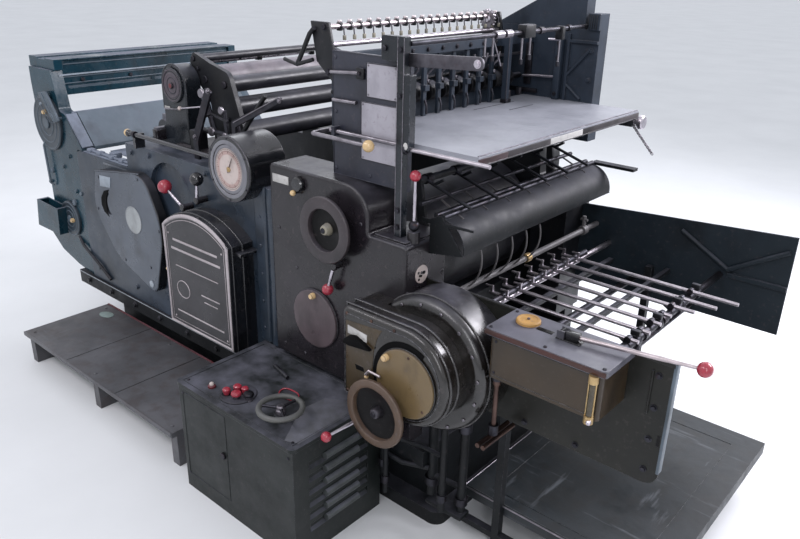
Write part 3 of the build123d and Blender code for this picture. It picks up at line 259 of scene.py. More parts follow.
def paint(name, base, light, worn=(112, 110, 118), rough=0.17, gloss=0.5, dust_and_sheen_amount=0.3, wear=0.4,
          specks=0.18, grease=0.6, lumps=0.0006, zones=(), sides=None):
    """Enamel on a casting: mottled and greasy, pale on tops and sloped shoulders with dust and painted
    sheen, and pale along its edges with wear and painted highlights.
    """
    f = Finish(name)
    clouds = f.spread(f.noise(3.2, 7), 0.38, 0.66)
    colour = f.mix(clouds, hue(*base), hue(*light))
    # Another colour beyond a place along X; on the round covers the olive zone on the gear disc is a
    # painted reflection.
    for limit, other in zones:
        beyond = f.spread(f.part(f.where, "X"), limit - 0.02, limit + 0.02)
        colour = f.mix(beyond, colour, f.mix(clouds, hue(*other), hue(*[c * 1.15 for c in other])))
    # Faces that do not look towards the operator take the sides colour, so a front face keeps its lighter
    # colour as a painted reflection.
    if sides:
        turned = f.spread(f.part(f.normal, "Y"), -0.9, -0.6)
        colour = f.mix(turned, colour, hue(*sides))
    colour = f.layer(f.noise(8, 8, (1, 1, 0.6), 9), 0.5, 0.72, grease, colour, GREASE)
    colour = f.layer(f.noise(75, 9, shift=5), 0.58, 0.68, specks, colour, SPECK)
    # Pale colour on faces that look up, reaching down onto sloped shoulders: partly dust and partly painted
    # sheen.
    patches = f.spread(f.noise(7, 6, shift=13), 0.34, 0.66)
    dust_and_sheen_mask = f.maths("MULTIPLY", f.spread(f.part(f.normal, "Z"), 0.3, 0.9, dust_and_sheen_amount), patches)
    colour = f.mix(dust_and_sheen_mask, colour, DUST_AND_SHEEN)
    # The worn colour along edges, in chips: partly edge wear and partly painted highlight.
    edge_chips_and_highlights = f.spread(f.noise(60, 7, shift=17), 0.46, 0.6, wear)
    colour = f.mix(f.maths("MULTIPLY", f.edges(), edge_chips_and_highlights), colour, hue(*worn))
    f.give("Base Color", colour)
    smears = f.spread(f.noise(11, 6, shift=21), 0.35, 0.7, 0.22)
    dull = f.maths("ADD", smears, rough)
    f.give("Roughness", f.maths("ADD", dull, dust_and_sheen_mask))
    f.give("Specular IOR Level", gloss)
    f.bumps((f.noise(14, 2, shift=25), lumps), (f.noise(210, 4, shift=29), 0.00005))
    return f.material


def metal(name, base, dark, rough=0.28, streak=(1, 1, 1), stain=0.3, rust=0.1):
    """Bare metal with turning or rolling marks, dulled in patches and lightly rusted."""
    f = Finish(name, 0.001)
    fine = f.spread(f.noise(30, 6, streak), 0.3, 0.7)
    colour = f.mix(fine, hue(*base), hue(*dark))
    colour = f.layer(f.noise(12, 7, shift=4), 0.5, 0.72, stain, colour, STAIN)
    colour = f.layer(f.noise(60, 9, shift=8), 0.6, 0.7, rust, colour, RUST)
    f.give("Base Color", colour)
    f.give("Metallic", 1.0)
    dull = f.spread(f.noise(20, 6, streak, 12), 0.3, 0.7, 0.22)
    f.give("Roughness", f.maths("ADD", dull, rough))
    f.bumps((f.noise(150, 4, streak, 16), 0.00008))
    return f.material


def plastic(name, base, worn, rough=0.1):
    """Moulded knob material, with hand wear and small scratches."""
    f = Finish(name, 0.001)
    colour = f.mix(f.spread(f.noise(40, 6), 0.4, 0.7, 0.5), hue(*base), hue(*worn))
    colour = f.layer(f.noise(120, 4, (1, 6, 1), 3), 0.6, 0.68, 0.35, colour, hue(*worn))
    f.give("Base Color", colour)
    dull = f.spread(f.noise(60, 5, shift=6), 0.2, 0.8, 0.3)
    f.give("Roughness", f.maths("ADD", dull, rough))
    f.give("Coat Weight", 0.4)
    f.bumps((f.noise(300, 3, shift=9), 0.00005))
    return f.material


def board(name, base, light, brown, scrape=0.5, gloss=0.4):
    """Painted board or sheet that is scraped and mottled by use."""
    f = Finish(name)
    colour = f.mix(f.spread(f.noise(4, 8), 0.35, 0.65), hue(*base), hue(*light))
    colour = f.layer(f.noise(18, 9, shift=5), 0.48, 0.66, 0.45, colour, hue(*brown))
    for stretch, shift in (((0.1, 1, 1), 9), ((1, 0.12, 1), 19)):
        colour = f.layer(f.noise(30, 6, stretch, shift), 0.62, 0.72, scrape, colour, hue(104, 108, 114))
    edge = f.maths("MULTIPLY", f.edges(), f.spread(f.noise(50, 6, shift=12), 0.4, 0.6, 0.7))
    colour = f.mix(edge, colour, hue(140, 140, 142))
    f.give("Base Color", colour)
    dull = f.spread(f.noise(15, 6, shift=15), 0.2, 0.8, 0.4)
    f.give("Roughness", f.maths("ADD", dull, 0.25))
    f.give("Specular IOR Level", gloss)
    f.bumps((f.noise(60, 6, shift=18), 0.0004))
    return f.material


# In these paints the worn colour along edges stands partly for painted edge highlights, and the pale colour
# on tops and shoulders partly for painted sheen.
PAINTS = {
    "enamel": dict(base=(20, 24, 29), light=(33, 38, 45), wear=0.8, worn=(130, 132, 142)),
    "housing": dict(base=(22, 20, 23), light=(36, 32, 37), specks=0.25, dust_and_sheen_amount=0.26, wear=0.9,
                    worn=(140, 138, 148)),
    "ink_end": dict(base=(14, 44, 56), light=(28, 62, 76), worn=(130, 144, 154), dust_and_sheen_amount=0.75, wear=0.8),
    "frame": dict(base=(36, 46, 57), light=(56, 66, 79), dust_and_sheen_amount=0.5, rough=0.24, wear=0.8,
                  worn=(128, 132, 142)),
    "low": dict(base=(13, 15, 17), light=(22, 25, 28), rough=0.4, gloss=0.25, dust_and_sheen_amount=0.2),
    # The teardrop cover's slate front is a painted reflection on its black enamel; its other faces keep the
    # black.
    "teardrop": dict(base=(66, 73, 83), light=(82, 89, 99), rough=0.22, worn=(136, 142, 150),
                     sides=(14, 15, 18)),
    "gloss": dict(base=(17, 18, 21), light=(29, 30, 35), rough=0.12, gloss=0.8, dust_and_sheen_amount=0.15,
                  worn=(170, 166, 172), wear=0.8),
    # Flat near black: painted shade and shadow in slots and gaps, and also the black handle's own colour.
    "crescent": dict(base=(4, 4, 5), light=(7, 7, 8), rough=0.6, gloss=0.1, dust_and_sheen_amount=0, wear=0, specks=0),
    "dull_wire": dict(base=(76, 74, 75), light=(98, 95, 96), rough=0.4, specks=0.3, dust_and_sheen_amount=0.1),
    "gold_paint": dict(base=(176, 134, 72), light=(200, 158, 92), worn=(120, 96, 70), rough=0.42,
                       specks=0.5, wear=0.8, dust_and_sheen_amount=0.05, lumps=0.0001),
    # Lighter than the cabinet's paint: dust and a painted highlight on the louvre hoods.
    "louvre": dict(base=(54, 58, 58), light=(72, 76, 76), rough=0.4, dust_and_sheen_amount=0.6),
    "dark": dict(base=(13, 14, 17), light=(22, 24, 29), rough=0.34, gloss=0.35),
    "navy": dict(base=(38, 46, 57), light=(50, 59, 71), rough=0.4, gloss=0.3, dust_and_sheen_amount=0.2),
    "teal": dict(base=(19, 28, 35), light=(27, 37, 44), rough=0.4, gloss=0.3),
    "olive": dict(base=(13, 12, 12), light=(24, 21, 18), rough=0.12, gloss=0.8, dust_and_sheen_amount=0.3, specks=0.25,
                  wear=0.8, worn=(150, 146, 152)),
    "cover": dict(base=(16, 14, 13), light=(28, 24, 19), rough=0.14, gloss=0.7, dust_and_sheen_amount=0.1, specks=0.3,
                  worn=(130, 120, 116)),
    # Brown olive that paints a yellow reflection on the lever box's black enamel.
    "box": dict(base=(44, 34, 20), light=(56, 43, 26), rough=0.3, dust_and_sheen_amount=0.1, specks=0.15,
                worn=(110, 84, 60)),
    # Olive brown that paints a yellow reflection on the gear cover's black plate.
    "olive_reflection_plate": dict(base=(52, 42, 26), light=(66, 53, 32), rough=0.26, dust_and_sheen_amount=0.05, specks=0.35),
    "panel": dict(base=(18, 19, 15), light=(28, 28, 22), rough=0.36, gloss=0.35),
    "side": dict(base=(36, 38, 49), light=(48, 50, 61), rough=0.34, specks=0.3),
    "table": dict(base=(132, 134, 142), light=(144, 146, 154), rough=0.34, dust_and_sheen_amount=0, specks=0.1,
                  grease=0.12, lumps=0.0001, wear=0.7),
    "cabinet": dict(base=(16, 21, 20), light=(27, 32, 31), rough=0.34, gloss=0.35, grease=0.4, dust_and_sheen_amount=0.5),
    "cylinder": dict(base=(16, 16, 20), light=(28, 28, 34), rough=0.36, gloss=0.35, specks=0.3),
    "wheel": dict(base=(44, 39, 42), light=(58, 51, 54), worn=(140, 128, 124), rough=0.26, specks=0.35,
                  wear=0.7, dust_and_sheen_amount=0.2),
    "wheel_brown": dict(base=(70, 54, 42), light=(86, 68, 54), worn=(150, 130, 112), rough=0.3,
                        specks=0.4, wear=0.8, dust_and_sheen_amount=0.2),
    "dish": dict(base=(8, 8, 9), light=(14, 13, 14), rough=0.34, gloss=0.2, wear=0.2, dust_and_sheen_amount=0),
    "lid": dict(base=(84, 84, 92), light=(104, 103, 110), rough=0.26, specks=0.25, dust_and_sheen_amount=0.3),
    "lid_edge": dict(base=(60, 26, 20), light=(46, 34, 22), rough=0.3, wear=0.7, specks=0.5),
    "plate": dict(base=(36, 35, 38), light=(46, 44, 48), rough=0.24, specks=0.25, lumps=0.0001),
    "light_plate": dict(base=(152, 149, 157), light=(170, 167, 175), rough=0.4, dust_and_sheen_amount=0.1,
                        specks=0.35, grease=0.3, lumps=0.0001),
    "strap": dict(base=(76, 88, 98), light=(94, 106, 116), rough=0.3),
    # Pale blue grey, partly a painted reflection of the sky on the shelf and its fittings.
    "apron": dict(base=(104, 112, 126), light=(126, 134, 148), rough=0.34, specks=0.3),
    "roller": dict(base=(96, 90, 96), light=(126, 116, 122), rough=0.34, specks=0.4, lumps=0.0001),
    "roller_dark": dict(base=(24, 24, 29), light=(40, 40, 47), rough=0.28, specks=0.3, lumps=0.0001),
    "roll_black": dict(base=(9, 9, 11), light=(18, 18, 21), rough=0.3, dust_and_sheen_amount=0.4),
    # Beyond X 0.8 the gear disc takes an olive brown that paints a yellow reflection on its dark face.
    "disc": dict(base=(40, 50, 58), light=(50, 60, 68), rough=0.26, specks=0.25,
                 zones=((-0.4, (74, 64, 67)), (0.8, (100, 84, 58)))),
    "cream": dict(base=(188, 174, 168), light=(202, 188, 182), worn=(150, 120, 112), rough=0.3,
                  specks=0.3, lumps=0.0001),
    "hub_cream": dict(base=(120, 116, 102), light=(146, 140, 124), worn=(186, 180, 168), rough=0.3,
                      specks=0.5, wear=0.9, lumps=0.0001),
    "bezel": dict(base=(110, 110, 116), light=(130, 130, 136), worn=(150, 148, 154), rough=0.3,
                  specks=0.3, wear=0.8),
    "bead": dict(base=(164, 156, 158), light=(190, 182, 184), worn=(120, 100, 92), rough=0.3, specks=0.3,
                 dust_and_sheen_amount=0.05, lumps=0.0001),
    "mint_grey": dict(base=(150, 154, 156), light=(168, 172, 172), rough=0.4, specks=0.4, lumps=0.0001),
    "label_blue": dict(base=(140, 150, 160), light=(160, 168, 176), rough=0.35, specks=0.3, lumps=0.0001),
    "cabinet_wheel": dict(base=(74, 75, 72), light=(94, 94, 90), worn=(140, 136, 132), rough=0.35,
                          specks=0.4, wear=0.8, dust_and_sheen_amount=0.2),
    "cabinet_patch": dict(base=(52, 54, 54), light=(70, 71, 70), rough=0.5, dust_and_sheen_amount=0.6),
    "cream_ring": dict(base=(172, 146, 140), light=(184, 160, 152), rough=0.35, lumps=0.0001),
    "ink": dict(base=(70, 52, 50), light=(86, 66, 62), rough=0.5, lumps=0.0001),
    "label": dict(base=(172, 170, 168), light=(196, 194, 190), rough=0.4, specks=0.5, lumps=0.0001),
    "mint": dict(base=(138, 158, 150), light=(158, 176, 168), rough=0.4, specks=0.4, lumps=0.0001),
    "red_paint": dict(base=(104, 34, 38), light=(82, 28, 32), rough=0.4, specks=0.4),
    "maroon": dict(base=(40, 16, 22), light=(52, 22, 28), rough=0.3),
    "mottle": dict(base=(24, 22, 25), light=(70, 66, 68), rough=0.45, gloss=0.25, specks=0.5),
    "arch_ring": dict(base=(64, 56, 64), light=(82, 70, 78), rough=0.3, specks=0.4),
    "white_line": dict(base=(150, 156, 162), light=(170, 176, 182), rough=0.4, specks=0.5),
}
METALS = {
    "steel": dict(base=(150, 146, 152), dark=(104, 100, 106), streak=(1, 1, 5)),
    "bright": dict(base=(214, 208, 216), dark=(176, 170, 178), rough=0.2, stain=0.15, rust=0.05),
    "rail": dict(base=(158, 154, 160), dark=(116, 112, 118), rough=0.26, stain=0.3),
    "arm": dict(base=(104, 102, 108), dark=(72, 70, 76), rough=0.34, stain=0.3),
    "rod": dict(base=(196, 190, 196), dark=(160, 154, 160), rough=0.3, stain=0.12, rust=0.04),
    "lever_steel": dict(base=(206, 196, 198), dark=(172, 162, 164), rough=0.3, stain=0.2),
    "iron": dict(base=(70, 70, 76), dark=(44, 44, 49), rough=0.36, stain=0.5, rust=0.3),
    "brown_steel": dict(base=(104, 84, 76), dark=(66, 54, 52), rough=0.36, stain=0.4, rust=0.4),
    "brass": dict(base=(204, 178, 132), dark=(160, 136, 98), rough=0.4, stain=0.35),
}
PLASTICS = {
    "red": dict(base=(158, 42, 58), worn=(130, 56, 70)),
    "cream_ball": dict(base=(208, 178, 130), worn=(164, 134, 98)),
    "black_ball": dict(base=(13, 13, 15), worn=(40, 40, 46)),
    "glass": dict(base=(52, 44, 26), worn=(96, 84, 56), rough=0.04),
}
BOARDS = {
    "pile": dict(base=(26, 30, 32), light=(40, 45, 49), brown=(32, 30, 28)),
    "step": dict(base=(74, 74, 77), light=(94, 94, 98), brown=(68, 58, 56), scrape=0.3),
}


def make_finishes():
    made = {}
    for kind, table in ((paint, PAINTS), (metal, METALS), (plastic, PLASTICS), (board, BOARDS)):
        for name, settings in table.items():
            made[name] = kind(name + "_finish", **settings)
    return made


finishes = make_finishes()

NODE_FINISH = {
    "enamel": ["arch_gearbox", "feeder_post"],
    "gloss": ["dial_housing", "name_plate_cover", "control_rod"],
    "dull_wire": ["delivery_bar"],
    "housing": ["front_housing"],
    "ink_end": ["inking_frames", "inking_hood", "end_tray"],
    "frame": ["near_frame"],
    "low": ["bed", "flat_bed", "delivery_posts", "delivery_guard"],
    "teardrop": ["teardrop_cover"],
    "dark": ["roller_brackets", "far_frame", "stripper_fingers"],
    "navy": ["far_tower", "tower_hood", "finger_comb"],
    "teal": ["far_side_panel"],
    "olive": ["gear_housing"],
    "cover": ["gear_cover"],
    "box": ["lever_box"],
    "panel": ["near_side_panel"],
    "side": ["feeder_side_plate"],
    "table": ["feed_table"],
    "cabinet": ["control_cabinet"],
    "cylinder": ["impression_cylinder"],
    "lid": ["box_lid"],
    "plate": ["name_plate"],
    "light_plate": ["light_plates"],
    "strap": ["ink_guards"],
    "roller": ["ink_roller"],
    "roller_dark": ["fixed_rollers"],
    "disc": ["round_covers"],
    "roll_black": ["feed_rolls"],
    "iron": ["link_plates", "rod_carrier"],
    "rod": ["delivery_rods"],
    "brown_steel": ["hoist_crank"],
    "pile": ["pile_board"],
    "step": ["step_board"],
}


# Forms: each is a pair of point and face lists


def lathe(profile, segments=40):
    """A form turned about Z from pairs of radius and height."""
    points, faces, rings = [], [], []
    for radius, height in profile:
        if radius < 0.001:
            rings.append([len(points)] * segments)
            points.append((0, 0, height))
            continue
        rings.append(list(range(len(points), len(points) + segments)))
        for i in range(segments):
            angle = 2 * math.pi * i / segments
            points.append((radius * math.cos(angle), radius * math.sin(angle), height))
    for low, high in zip(rings, rings[1:]):
        for i in range(segments):
            j = (i + 1) % segments
            face = list(dict.fromkeys((low[i], low[j], high[j], high[i])))
            if len(face) > 2:
                faces.append(face)
    return points, faces


def arc(radius, start, end, steps, centre=(0.0, 0.0)):
    """Points of a circle's arc, with angles in degrees."""
    made = []
    for i in range(steps + 1):
        angle = math.radians(start + (end - start) * i / steps)
        made.append((centre[0] + radius * math.cos(angle), centre[1] + radius * math.sin(angle)))
    return made


def oval(wide, high, steps, centre=(0, 0)):
    """Points of an oval, from its half width and half height."""
    turns = [2 * math.pi * i / steps for i in range(steps)]
    return [(centre[0] + wide * math.cos(a), centre[1] + high * math.sin(a)) for a in turns]


def corners(wide, high):
    """A rectangle's corners, from its limits on two axes."""
    return [(wide[0], high[0]), (wide[1], high[0]), (wide[1], high[1]), (wide[0], high[1])]


def tube(points, radius, segments=12, closed=False):
    """A round bar along a line of points, its ends capped or joined."""
    points = [Vector(p) for p in points]
    count = len(points)
    made, faces, rings = [], [], []
    side = None
    for i, point in enumerate(points):
        before = points[i - 1] if i or closed else point
        after = points[(i + 1) % count] if i < count - 1 or closed else point
        along = (after - before).normalized()
        if side is None:
            side = along.orthogonal().normalized()
        side = (side - along * side.dot(along)).normalized()
        other = along.cross(side)
        rings.append(list(range(len(made), len(made) + segments)))
        for k in range(segments):
            angle = 2 * math.pi * k / segments
            made.append(point + (side * math.cos(angle) + other * math.sin(angle)) * radius)
    for low, high in zip(rings, rings[1:] + rings[:1] if closed else rings[1:]):
        for k in range(segments):
            j = (k + 1) % segments
            faces.append((low[k], low[j], high[j], high[k]))
    if not closed:
        faces += [tuple(reversed(rings[0])), tuple(rings[-1])]
    return made, faces


def prism(outline, depth, bevel=0.0, segments=2):
    """An outline in X and Y, made solid up to a depth along Z, with softened edges."""
    bm = bmesh.new()
    face = bm.faces.new([bm.verts.new((x, y, 0)) for x, y in outline])
    grown = bmesh.ops.extrude_face_region(bm, geom=[face])
    top = [v for v in grown["geom"] if isinstance(v, bmesh.types.BMVert)]
    bmesh.ops.translate(bm, vec=(0, 0, depth), verts=top)
    bmesh.ops.recalc_face_normals(bm, faces=bm.faces)
    if bevel:
        sharp = [e for e in bm.edges if e.calc_face_angle(0) > 0.6]
        bmesh.ops.bevel(bm, geom=sharp, offset=bevel, segments=segments, affect="EDGES", profile=0.5)
    bm.verts.index_update()
    form = [tuple(v.co) for v in bm.verts], [tuple(v.index for v in f.verts) for f in bm.faces]
    bm.free()
    return form


def moved(form, matrix):
    """The same form, carried by a matrix."""
    return [tuple(matrix @ Vector(p)) for p in form[0]], form[1]


def brick(x, y, z, bevel=1.0):
    """A box between two limits on each axis, with softened edges."""
    return moved(prism(corners(x, y), z[1] - z[0], bevel), Matrix.Translation((0, 0, z[0])))


def facing(outline, front, depth, bevel):
    """An outline in X and Z, made solid from a front towards the back."""
    turn = Matrix(((1, 0, 0, 0), (0, 0, 1, front), (0, 1, 0, 0), (0, 0, 0, 1)))
    return moved(prism(outline, depth, bevel), turn)


def to(place, direction=UP, spin=0.0):
    """A matrix that turns Z to a direction and moves the origin to a place."""
    aim = Vector(direction).to_track_quat("Z", "Y").to_matrix().to_4x4()
    return Matrix.Translation(Vector(place)) @ aim @ Matrix.Rotation(math.radians(spin), 4, "Z")


def at(form, place, direction=UP, spin=0.0):
    """The same form, stood at a place with its Z along a direction."""
    return moved(form, to(place, direction, spin))


def stick(start, end, radius, gap=0.0):
    """A slightly waisted round stick between two places, stopped short of its ball."""
    along = Vector(end) - Vector(start)
    length = along.length - gap
    profile = [(0, 0), (radius * 0.85, 0), (radius, 3), (radius, length * 0.7)]
    profile += [(radius * 0.8, length * 0.8), (radius * 0.75, length), (radius, length + 1)]
    profile += [(radius, length + 4), (0, length + 5)]
    return at(lathe(profile, 16), start, along)


def upright(outline, y):
    """Points of an outline in X and Z, on a face towards the operator."""
    return [(x, y, z) for x, z in outline]


def level(outline, z):
    """Points of an outline in X and Y, at one height."""
    return [(x, y, z) for x, y in outline]


class Piece:
    """Forms with the names of their finishes, gathered until the object is made."""

    def __init__(self):
        self.forms = []

    def add(self, finish, form):
        """One more form, in a finish."""
        self.forms.append((form, finish))

    def brick(self, finish, x, y, z, bevel=1.0):
        self.add(finish, brick(x, y, z, bevel))

    def plate(self, finish, outline, front, depth, bevel=1.0):
        self.add(finish, facing(outline, front, depth, bevel))

    def tube(self, finish, points, radius, segments=12, closed=False):
        self.add(finish, tube(points, radius, segments, closed))

    def across(self, finish, place, ends, radius, segments=12):
        """A round bar across the machine, at a place in X and Z."""
        self.tube(finish, [(place[0], y, place[1]) for y in ends], radius, segments)

    def bead(self, finish, outline, y, radius, segments=12):
        """A closed round bead along an outline in X and Z."""
        self.tube(finish, upright(outline, y), radius, segments, closed=True)

    def lathe(self, finish, profile, place, direction=UP, segments=40):
        self.add(finish, at(lathe(profile, segments), place, direction))

    def ball(self, finish, radius, place, segments=32):
        self.lathe(finish, [(max(0.0, r), h) for r, h in arc(radius, -90, 90, 16)], place, UP, segments)

    def ring(self, finish, radius, thickness, place, direction=UP, segments=48):
        self.lathe(finish, arc(thickness, 0, 360, 12, (radius, 0)), place, direction, segments)

    def cap(self, finish, radius, height, place, direction=UP, segments=20):
        """A plain turned disc or collar."""
        self.lathe(finish, [(0, 0), (radius, 0), (radius, height), (0, height)], place, direction, segments)

    def button(self, finish, radius, height, edge, place, direction=UP):
        """A low turned disc with a softened rim."""
        profile = [(0, 0), (radius, 0), (radius, height - edge), (radius - edge, height), (0, height)]
        self.lathe(finish, profile, place, direction, 32)

    def hexes(self, finish, size, place, direction):
        for form in hex_head(size):
            self.add(finish, at(form, place, direction))

    def make(self, name, body="machine", replaces=None, sharp=35):
        """The object, with its materials, its body and the CAD node that it takes the place of."""
        mesh = bpy.data.meshes.new(name)
        names = list(dict.fromkeys(finish for _, finish in self.forms))
        for finish in names:
            mesh.materials.append(finishes[finish])
        points, faces, marks = [], [], []
        for (form_points, form_faces), finish in self.forms:
            start = len(points)
            points += form_points
            faces += [tuple(start + i for i in face) for face in form_faces]
            marks += [names.index(finish)] * len(form_faces)
        mesh.from_pydata([tuple(c * MM for c in p) for p in points], [], faces)
        mesh.polygons.foreach_set("material_index", marks)
        bm = bmesh.new()
        bm.from_mesh(mesh)
        bmesh.ops.recalc_face_normals(bm, faces=bm.faces)
        bm.to_mesh(mesh)
        bm.free()
        mesh.polygons.foreach_set("use_smooth", [True] * len(mesh.polygons))
        mesh.set_sharp_from_angle(angle=math.radians(sharp))
        made = bpy.data.objects.new(name, mesh)
        scene.collection.objects.link(made)
        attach(made, body)
        if replaces:
            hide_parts(replaces)


# Fasteners


def hex_head(size):
    """A hexagon bolt head on a washer."""
    head = prism(arc(size, 0, 300, 5), size * 0.75, size * 0.12, 1)
    raised = moved(head, Matrix.Translation((0, 0, size * 0.2)))
    return [raised, lathe([(0, 0), (size * 1.35, 0), (size * 1.35, size * 0.2), (0, size * 0.22)], 20)]


def round_head(size):
    """A low screw head with a rounded rim."""
    return [lathe([(size, 0), (size, size * 0.25), (size * 0.8, size * 0.5), (0, size * 0.6)], 16)]


def fasteners(name, places, size, kind=round_head, finish="iron", direction=NEAR):
    """A group of like fasteners on one face, each turned by chance."""
    p = Piece()
    for place in places:
        spin = chance.uniform(0, 60)
        for form in kind(size):
            p.add(finish, at(form, place, direction, spin))
    p.make(name)


def around(centre, y, radius, count, start=0.0, end=360.0):
    """Places round a circle on a face towards the operator."""
    steps = count if end - start == 360 else count - 1
    return upright(arc(radius, start, end, steps, centre)[:count], y)


def row(start, step, count):
    """Places one step apart."""
    return [tuple(s + d * i for s, d in zip(start, step)) for i in range(count)]


def add_fasteners():
    """Bolts and screws on the faces of the castings, covers, panels and boards."""
    fasteners("flange_bolts", row((-1060, -520, 270), (200, 0, 0), 10), 11, hex_head, "dark")
    frame = [(-1090, 700), (-1110, 860), (-1300, 520), (-1180, 800), (-1320, 880), (-1225, 1120)]
    fasteners("ink_frame_bolts", upright(frame, INK_FRAME_FACE), 9, hex_head, "ink_end")
    frame = [(-560, 975), (-430, 985), (-60, 985), (60, 985), (-960, 360), (-640, 360), (-340, 350)]
    fasteners("frame_bolts", upright(frame, FRAME_FACE), 9, hex_head, "frame")
    fasteners("column_screws", row((259, -526, 480), (0, 0, 105), 5), 6, finish="frame")
    cover = [(-782, 838), (-470, 888), (-350, 700), (-440, 520), (-640, 500), (-820, 690)]
    fasteners("teardrop_screws", upright(cover, HOUSING_FACE), 6, finish="teardrop")
    fasteners("dial_screws", around(DIAL_CENTRE, DIAL_FACE, 104, 6, 30, 330), 3.5)
    housing = [(400, 480), (500, 475), (760, 760), (390, 900), (760, 1000), (470, 780)]
    fasteners("housing_bolts", upright(housing, HOUSING_FACE), 6, finish="housing")
    drum = around(GEAR_CENTRE, -590, 186, 9, -60, 118)
    fasteners("gear_housing_screws", drum, 5.5, finish="steel")
    cover = [(830, 782), (925, 788), (1010, 788), (832, 530), (900, 524)]
    fasteners("gear_cover_screws", upright(cover, GEAR_COVER_FACE), 5, finish="brown_steel")
    disc = around(GEAR_DISC_CENTRE, GEAR_DISC_FACE, 90, 3, 80, 320)
    fasteners("gear_disc_screws", disc, 4, finish="brown_steel")
    block = level([(818, -530), (818, -420), (905, -420), (905, -532)], BLOCK_TOP)
    fasteners("block_bolts", block, 6, finish="housing", direction=UP)
    right = [(935, -540, 950), (935, -430, 950), (935, -540, 830)]
    fasteners("housing_right_screws", right, 5, finish="housing", direction=RIGHT)
    fasteners("arch_screws", around(ARCH_CENTRE, -420, 70, 5, 20, 160), 3.5)
    side = [(600, 1130), (600, 1300), (600, 1455), (740, 1130), (840, 1130)]
    fasteners("side_plate_screws", upright(side, SIDE_PLATE_FACE), 6, finish="side")
    low = [(x, z) for x in (713, 851) for z in (1183, 1336)]
    high = [(x, z) for x in (734, 834) for z in (1365, 1445)]
    fasteners("light_plate_screws", upright(low + high, LIGHT_PLATE_FACE), 3, finish="steel")
    fasteners("post_bolts", [(871, POST_FACE, z) for z in (1010, 1060, 1380, 1500)], 7, hex_head)
    fasteners("box_screws", [(x, BOX_FACE, z) for x in (1280, 1560) for z in (730, 820)], 4)
    lid = level([(1262, -592), (1262, -470), (1578, -470), (1578, -592), (1420, -592)], BOX_LID_TOP)
    fasteners("lid_screws", lid, 5, direction=UP)
    panel = row((1655, PANEL_FACE, 540), (0, 0, 90), 4) + row((985, PANEL_FACE, 520), (160, 0, 0), 4)
    fasteners("panel_bolts", panel, 7, hex_head)
    fasteners("cabinet_screws", [(x, CABINET_FACE, z) for x in (275, 800) for z in (60, 380)], 5)
    top = level([(280, -870), (795, -870), (795, -560)], CABINET_TOP)
    fasteners("cabinet_top_screws", top, 5, direction=UP)
    step = [(x, y, STEP_TOP) for x in (-960, -430, 110) for y in (-850, -510)]
    fasteners("step_screws", step, 6, finish="step", direction=UP)
    fasteners("tower_bolts", row((905, 477, 1130), (0, 0, 100), 4), 8, hex_head, "navy")
    hood = row((-1182, -440, 1262), (0, 176, 0), 6)
    fasteners("hood_screws", hood, 5, finish="ink_end", direction=RIGHT)
    far = row((-900, 510, 360), (300, 0, 0), 6) + row((-900, 510, 860), (300, 0, 0), 6)
    fasteners("far_frame_bolts", far, 11, hex_head, "dark", FAR)
    tower = [(x, 537, z) for x in (470, 680, 890) for z in (1140, 1470)]
    fasteners("tower_far_bolts", tower, 9, hex_head, "navy", FAR)
    fasteners("far_panel_bolts", row((1000, 500, 610), (160, 0, 0), 5), 8, hex_head, "teal", FAR)


# Covers along the operator's side


def arched(inset):
    """The outline of the name plate's cover, set in from its edge."""
    left = -205 + inset
    right = 193 - inset
    side = 790 - inset * 0.4
    top = 861 - inset
    foot = 385 + inset
    half, rise = (right - left) / 2, top - side
    radius = (half * half + rise * rise) / (2 * rise)
    swing = math.degrees(math.asin(half / radius))
    curve = arc(radius, 90 - swing, 90 + swing, 24, ((left + right) / 2, top - radius))
    return [(left, foot), (right, foot), *curve]


def add_name_cover_trim():
    """Light beads on the cover, and a plain relief on the blank plate."""
    p = Piece()
    p.bead("bead", arched(8.5), -615, 8, 16)
    p.bead("gloss", arched(-1), -600, 4)
    p.brick("gloss", (193, 229), (-592, -512), (758, 770), 3)
    p.bead("gloss", arched(-1), -556, 4)
    p.make("name_cover_beads")

    p = Piece()
    p.bead("bead", arched(24), NAME_PLATE_FACE - 0.6, 1.6, 8)
    bars = ((-6, 742, 270, 9), (-6, 706, 300, 9), (-6, 640, 260, 4), (70, 560, 110, 5), (70, 536, 80, 4),
            (-6, 450, 290, 6))
    for x, z, width, height in bars:
        wide, high = width / 2, height / 2
        deep = (NAME_PLATE_FACE - 2, NAME_PLATE_FACE)
        p.brick("bead", (x - wide, x + wide), deep, (z - high, z + high), 0.5)
    p.bead("bead", oval(40, 34, 36, (-100, 548)), NAME_PLATE_FACE - 0.8, 1.8, 8)
    for x in (-168, 156):
        for z in (420, 760):
            place = (x, NAME_PLATE_FACE - 0.5, z)
            p.lathe("bead", [(4, -1), (4, 0.8), (2, 2), (0, 2.2)], place, NEAR, 16)
    p.make("name_plate_relief")

    p = Piece()
    p.lathe("iron", [(7, 0), (7, 4), (4, 5), (4, 12), (0, 12)], (-205, -600, 594), LEFT, 20)
    p.ball("cream_ball", 9, (-223, -600, 594), 24)
    p.make("cover_side_knob")


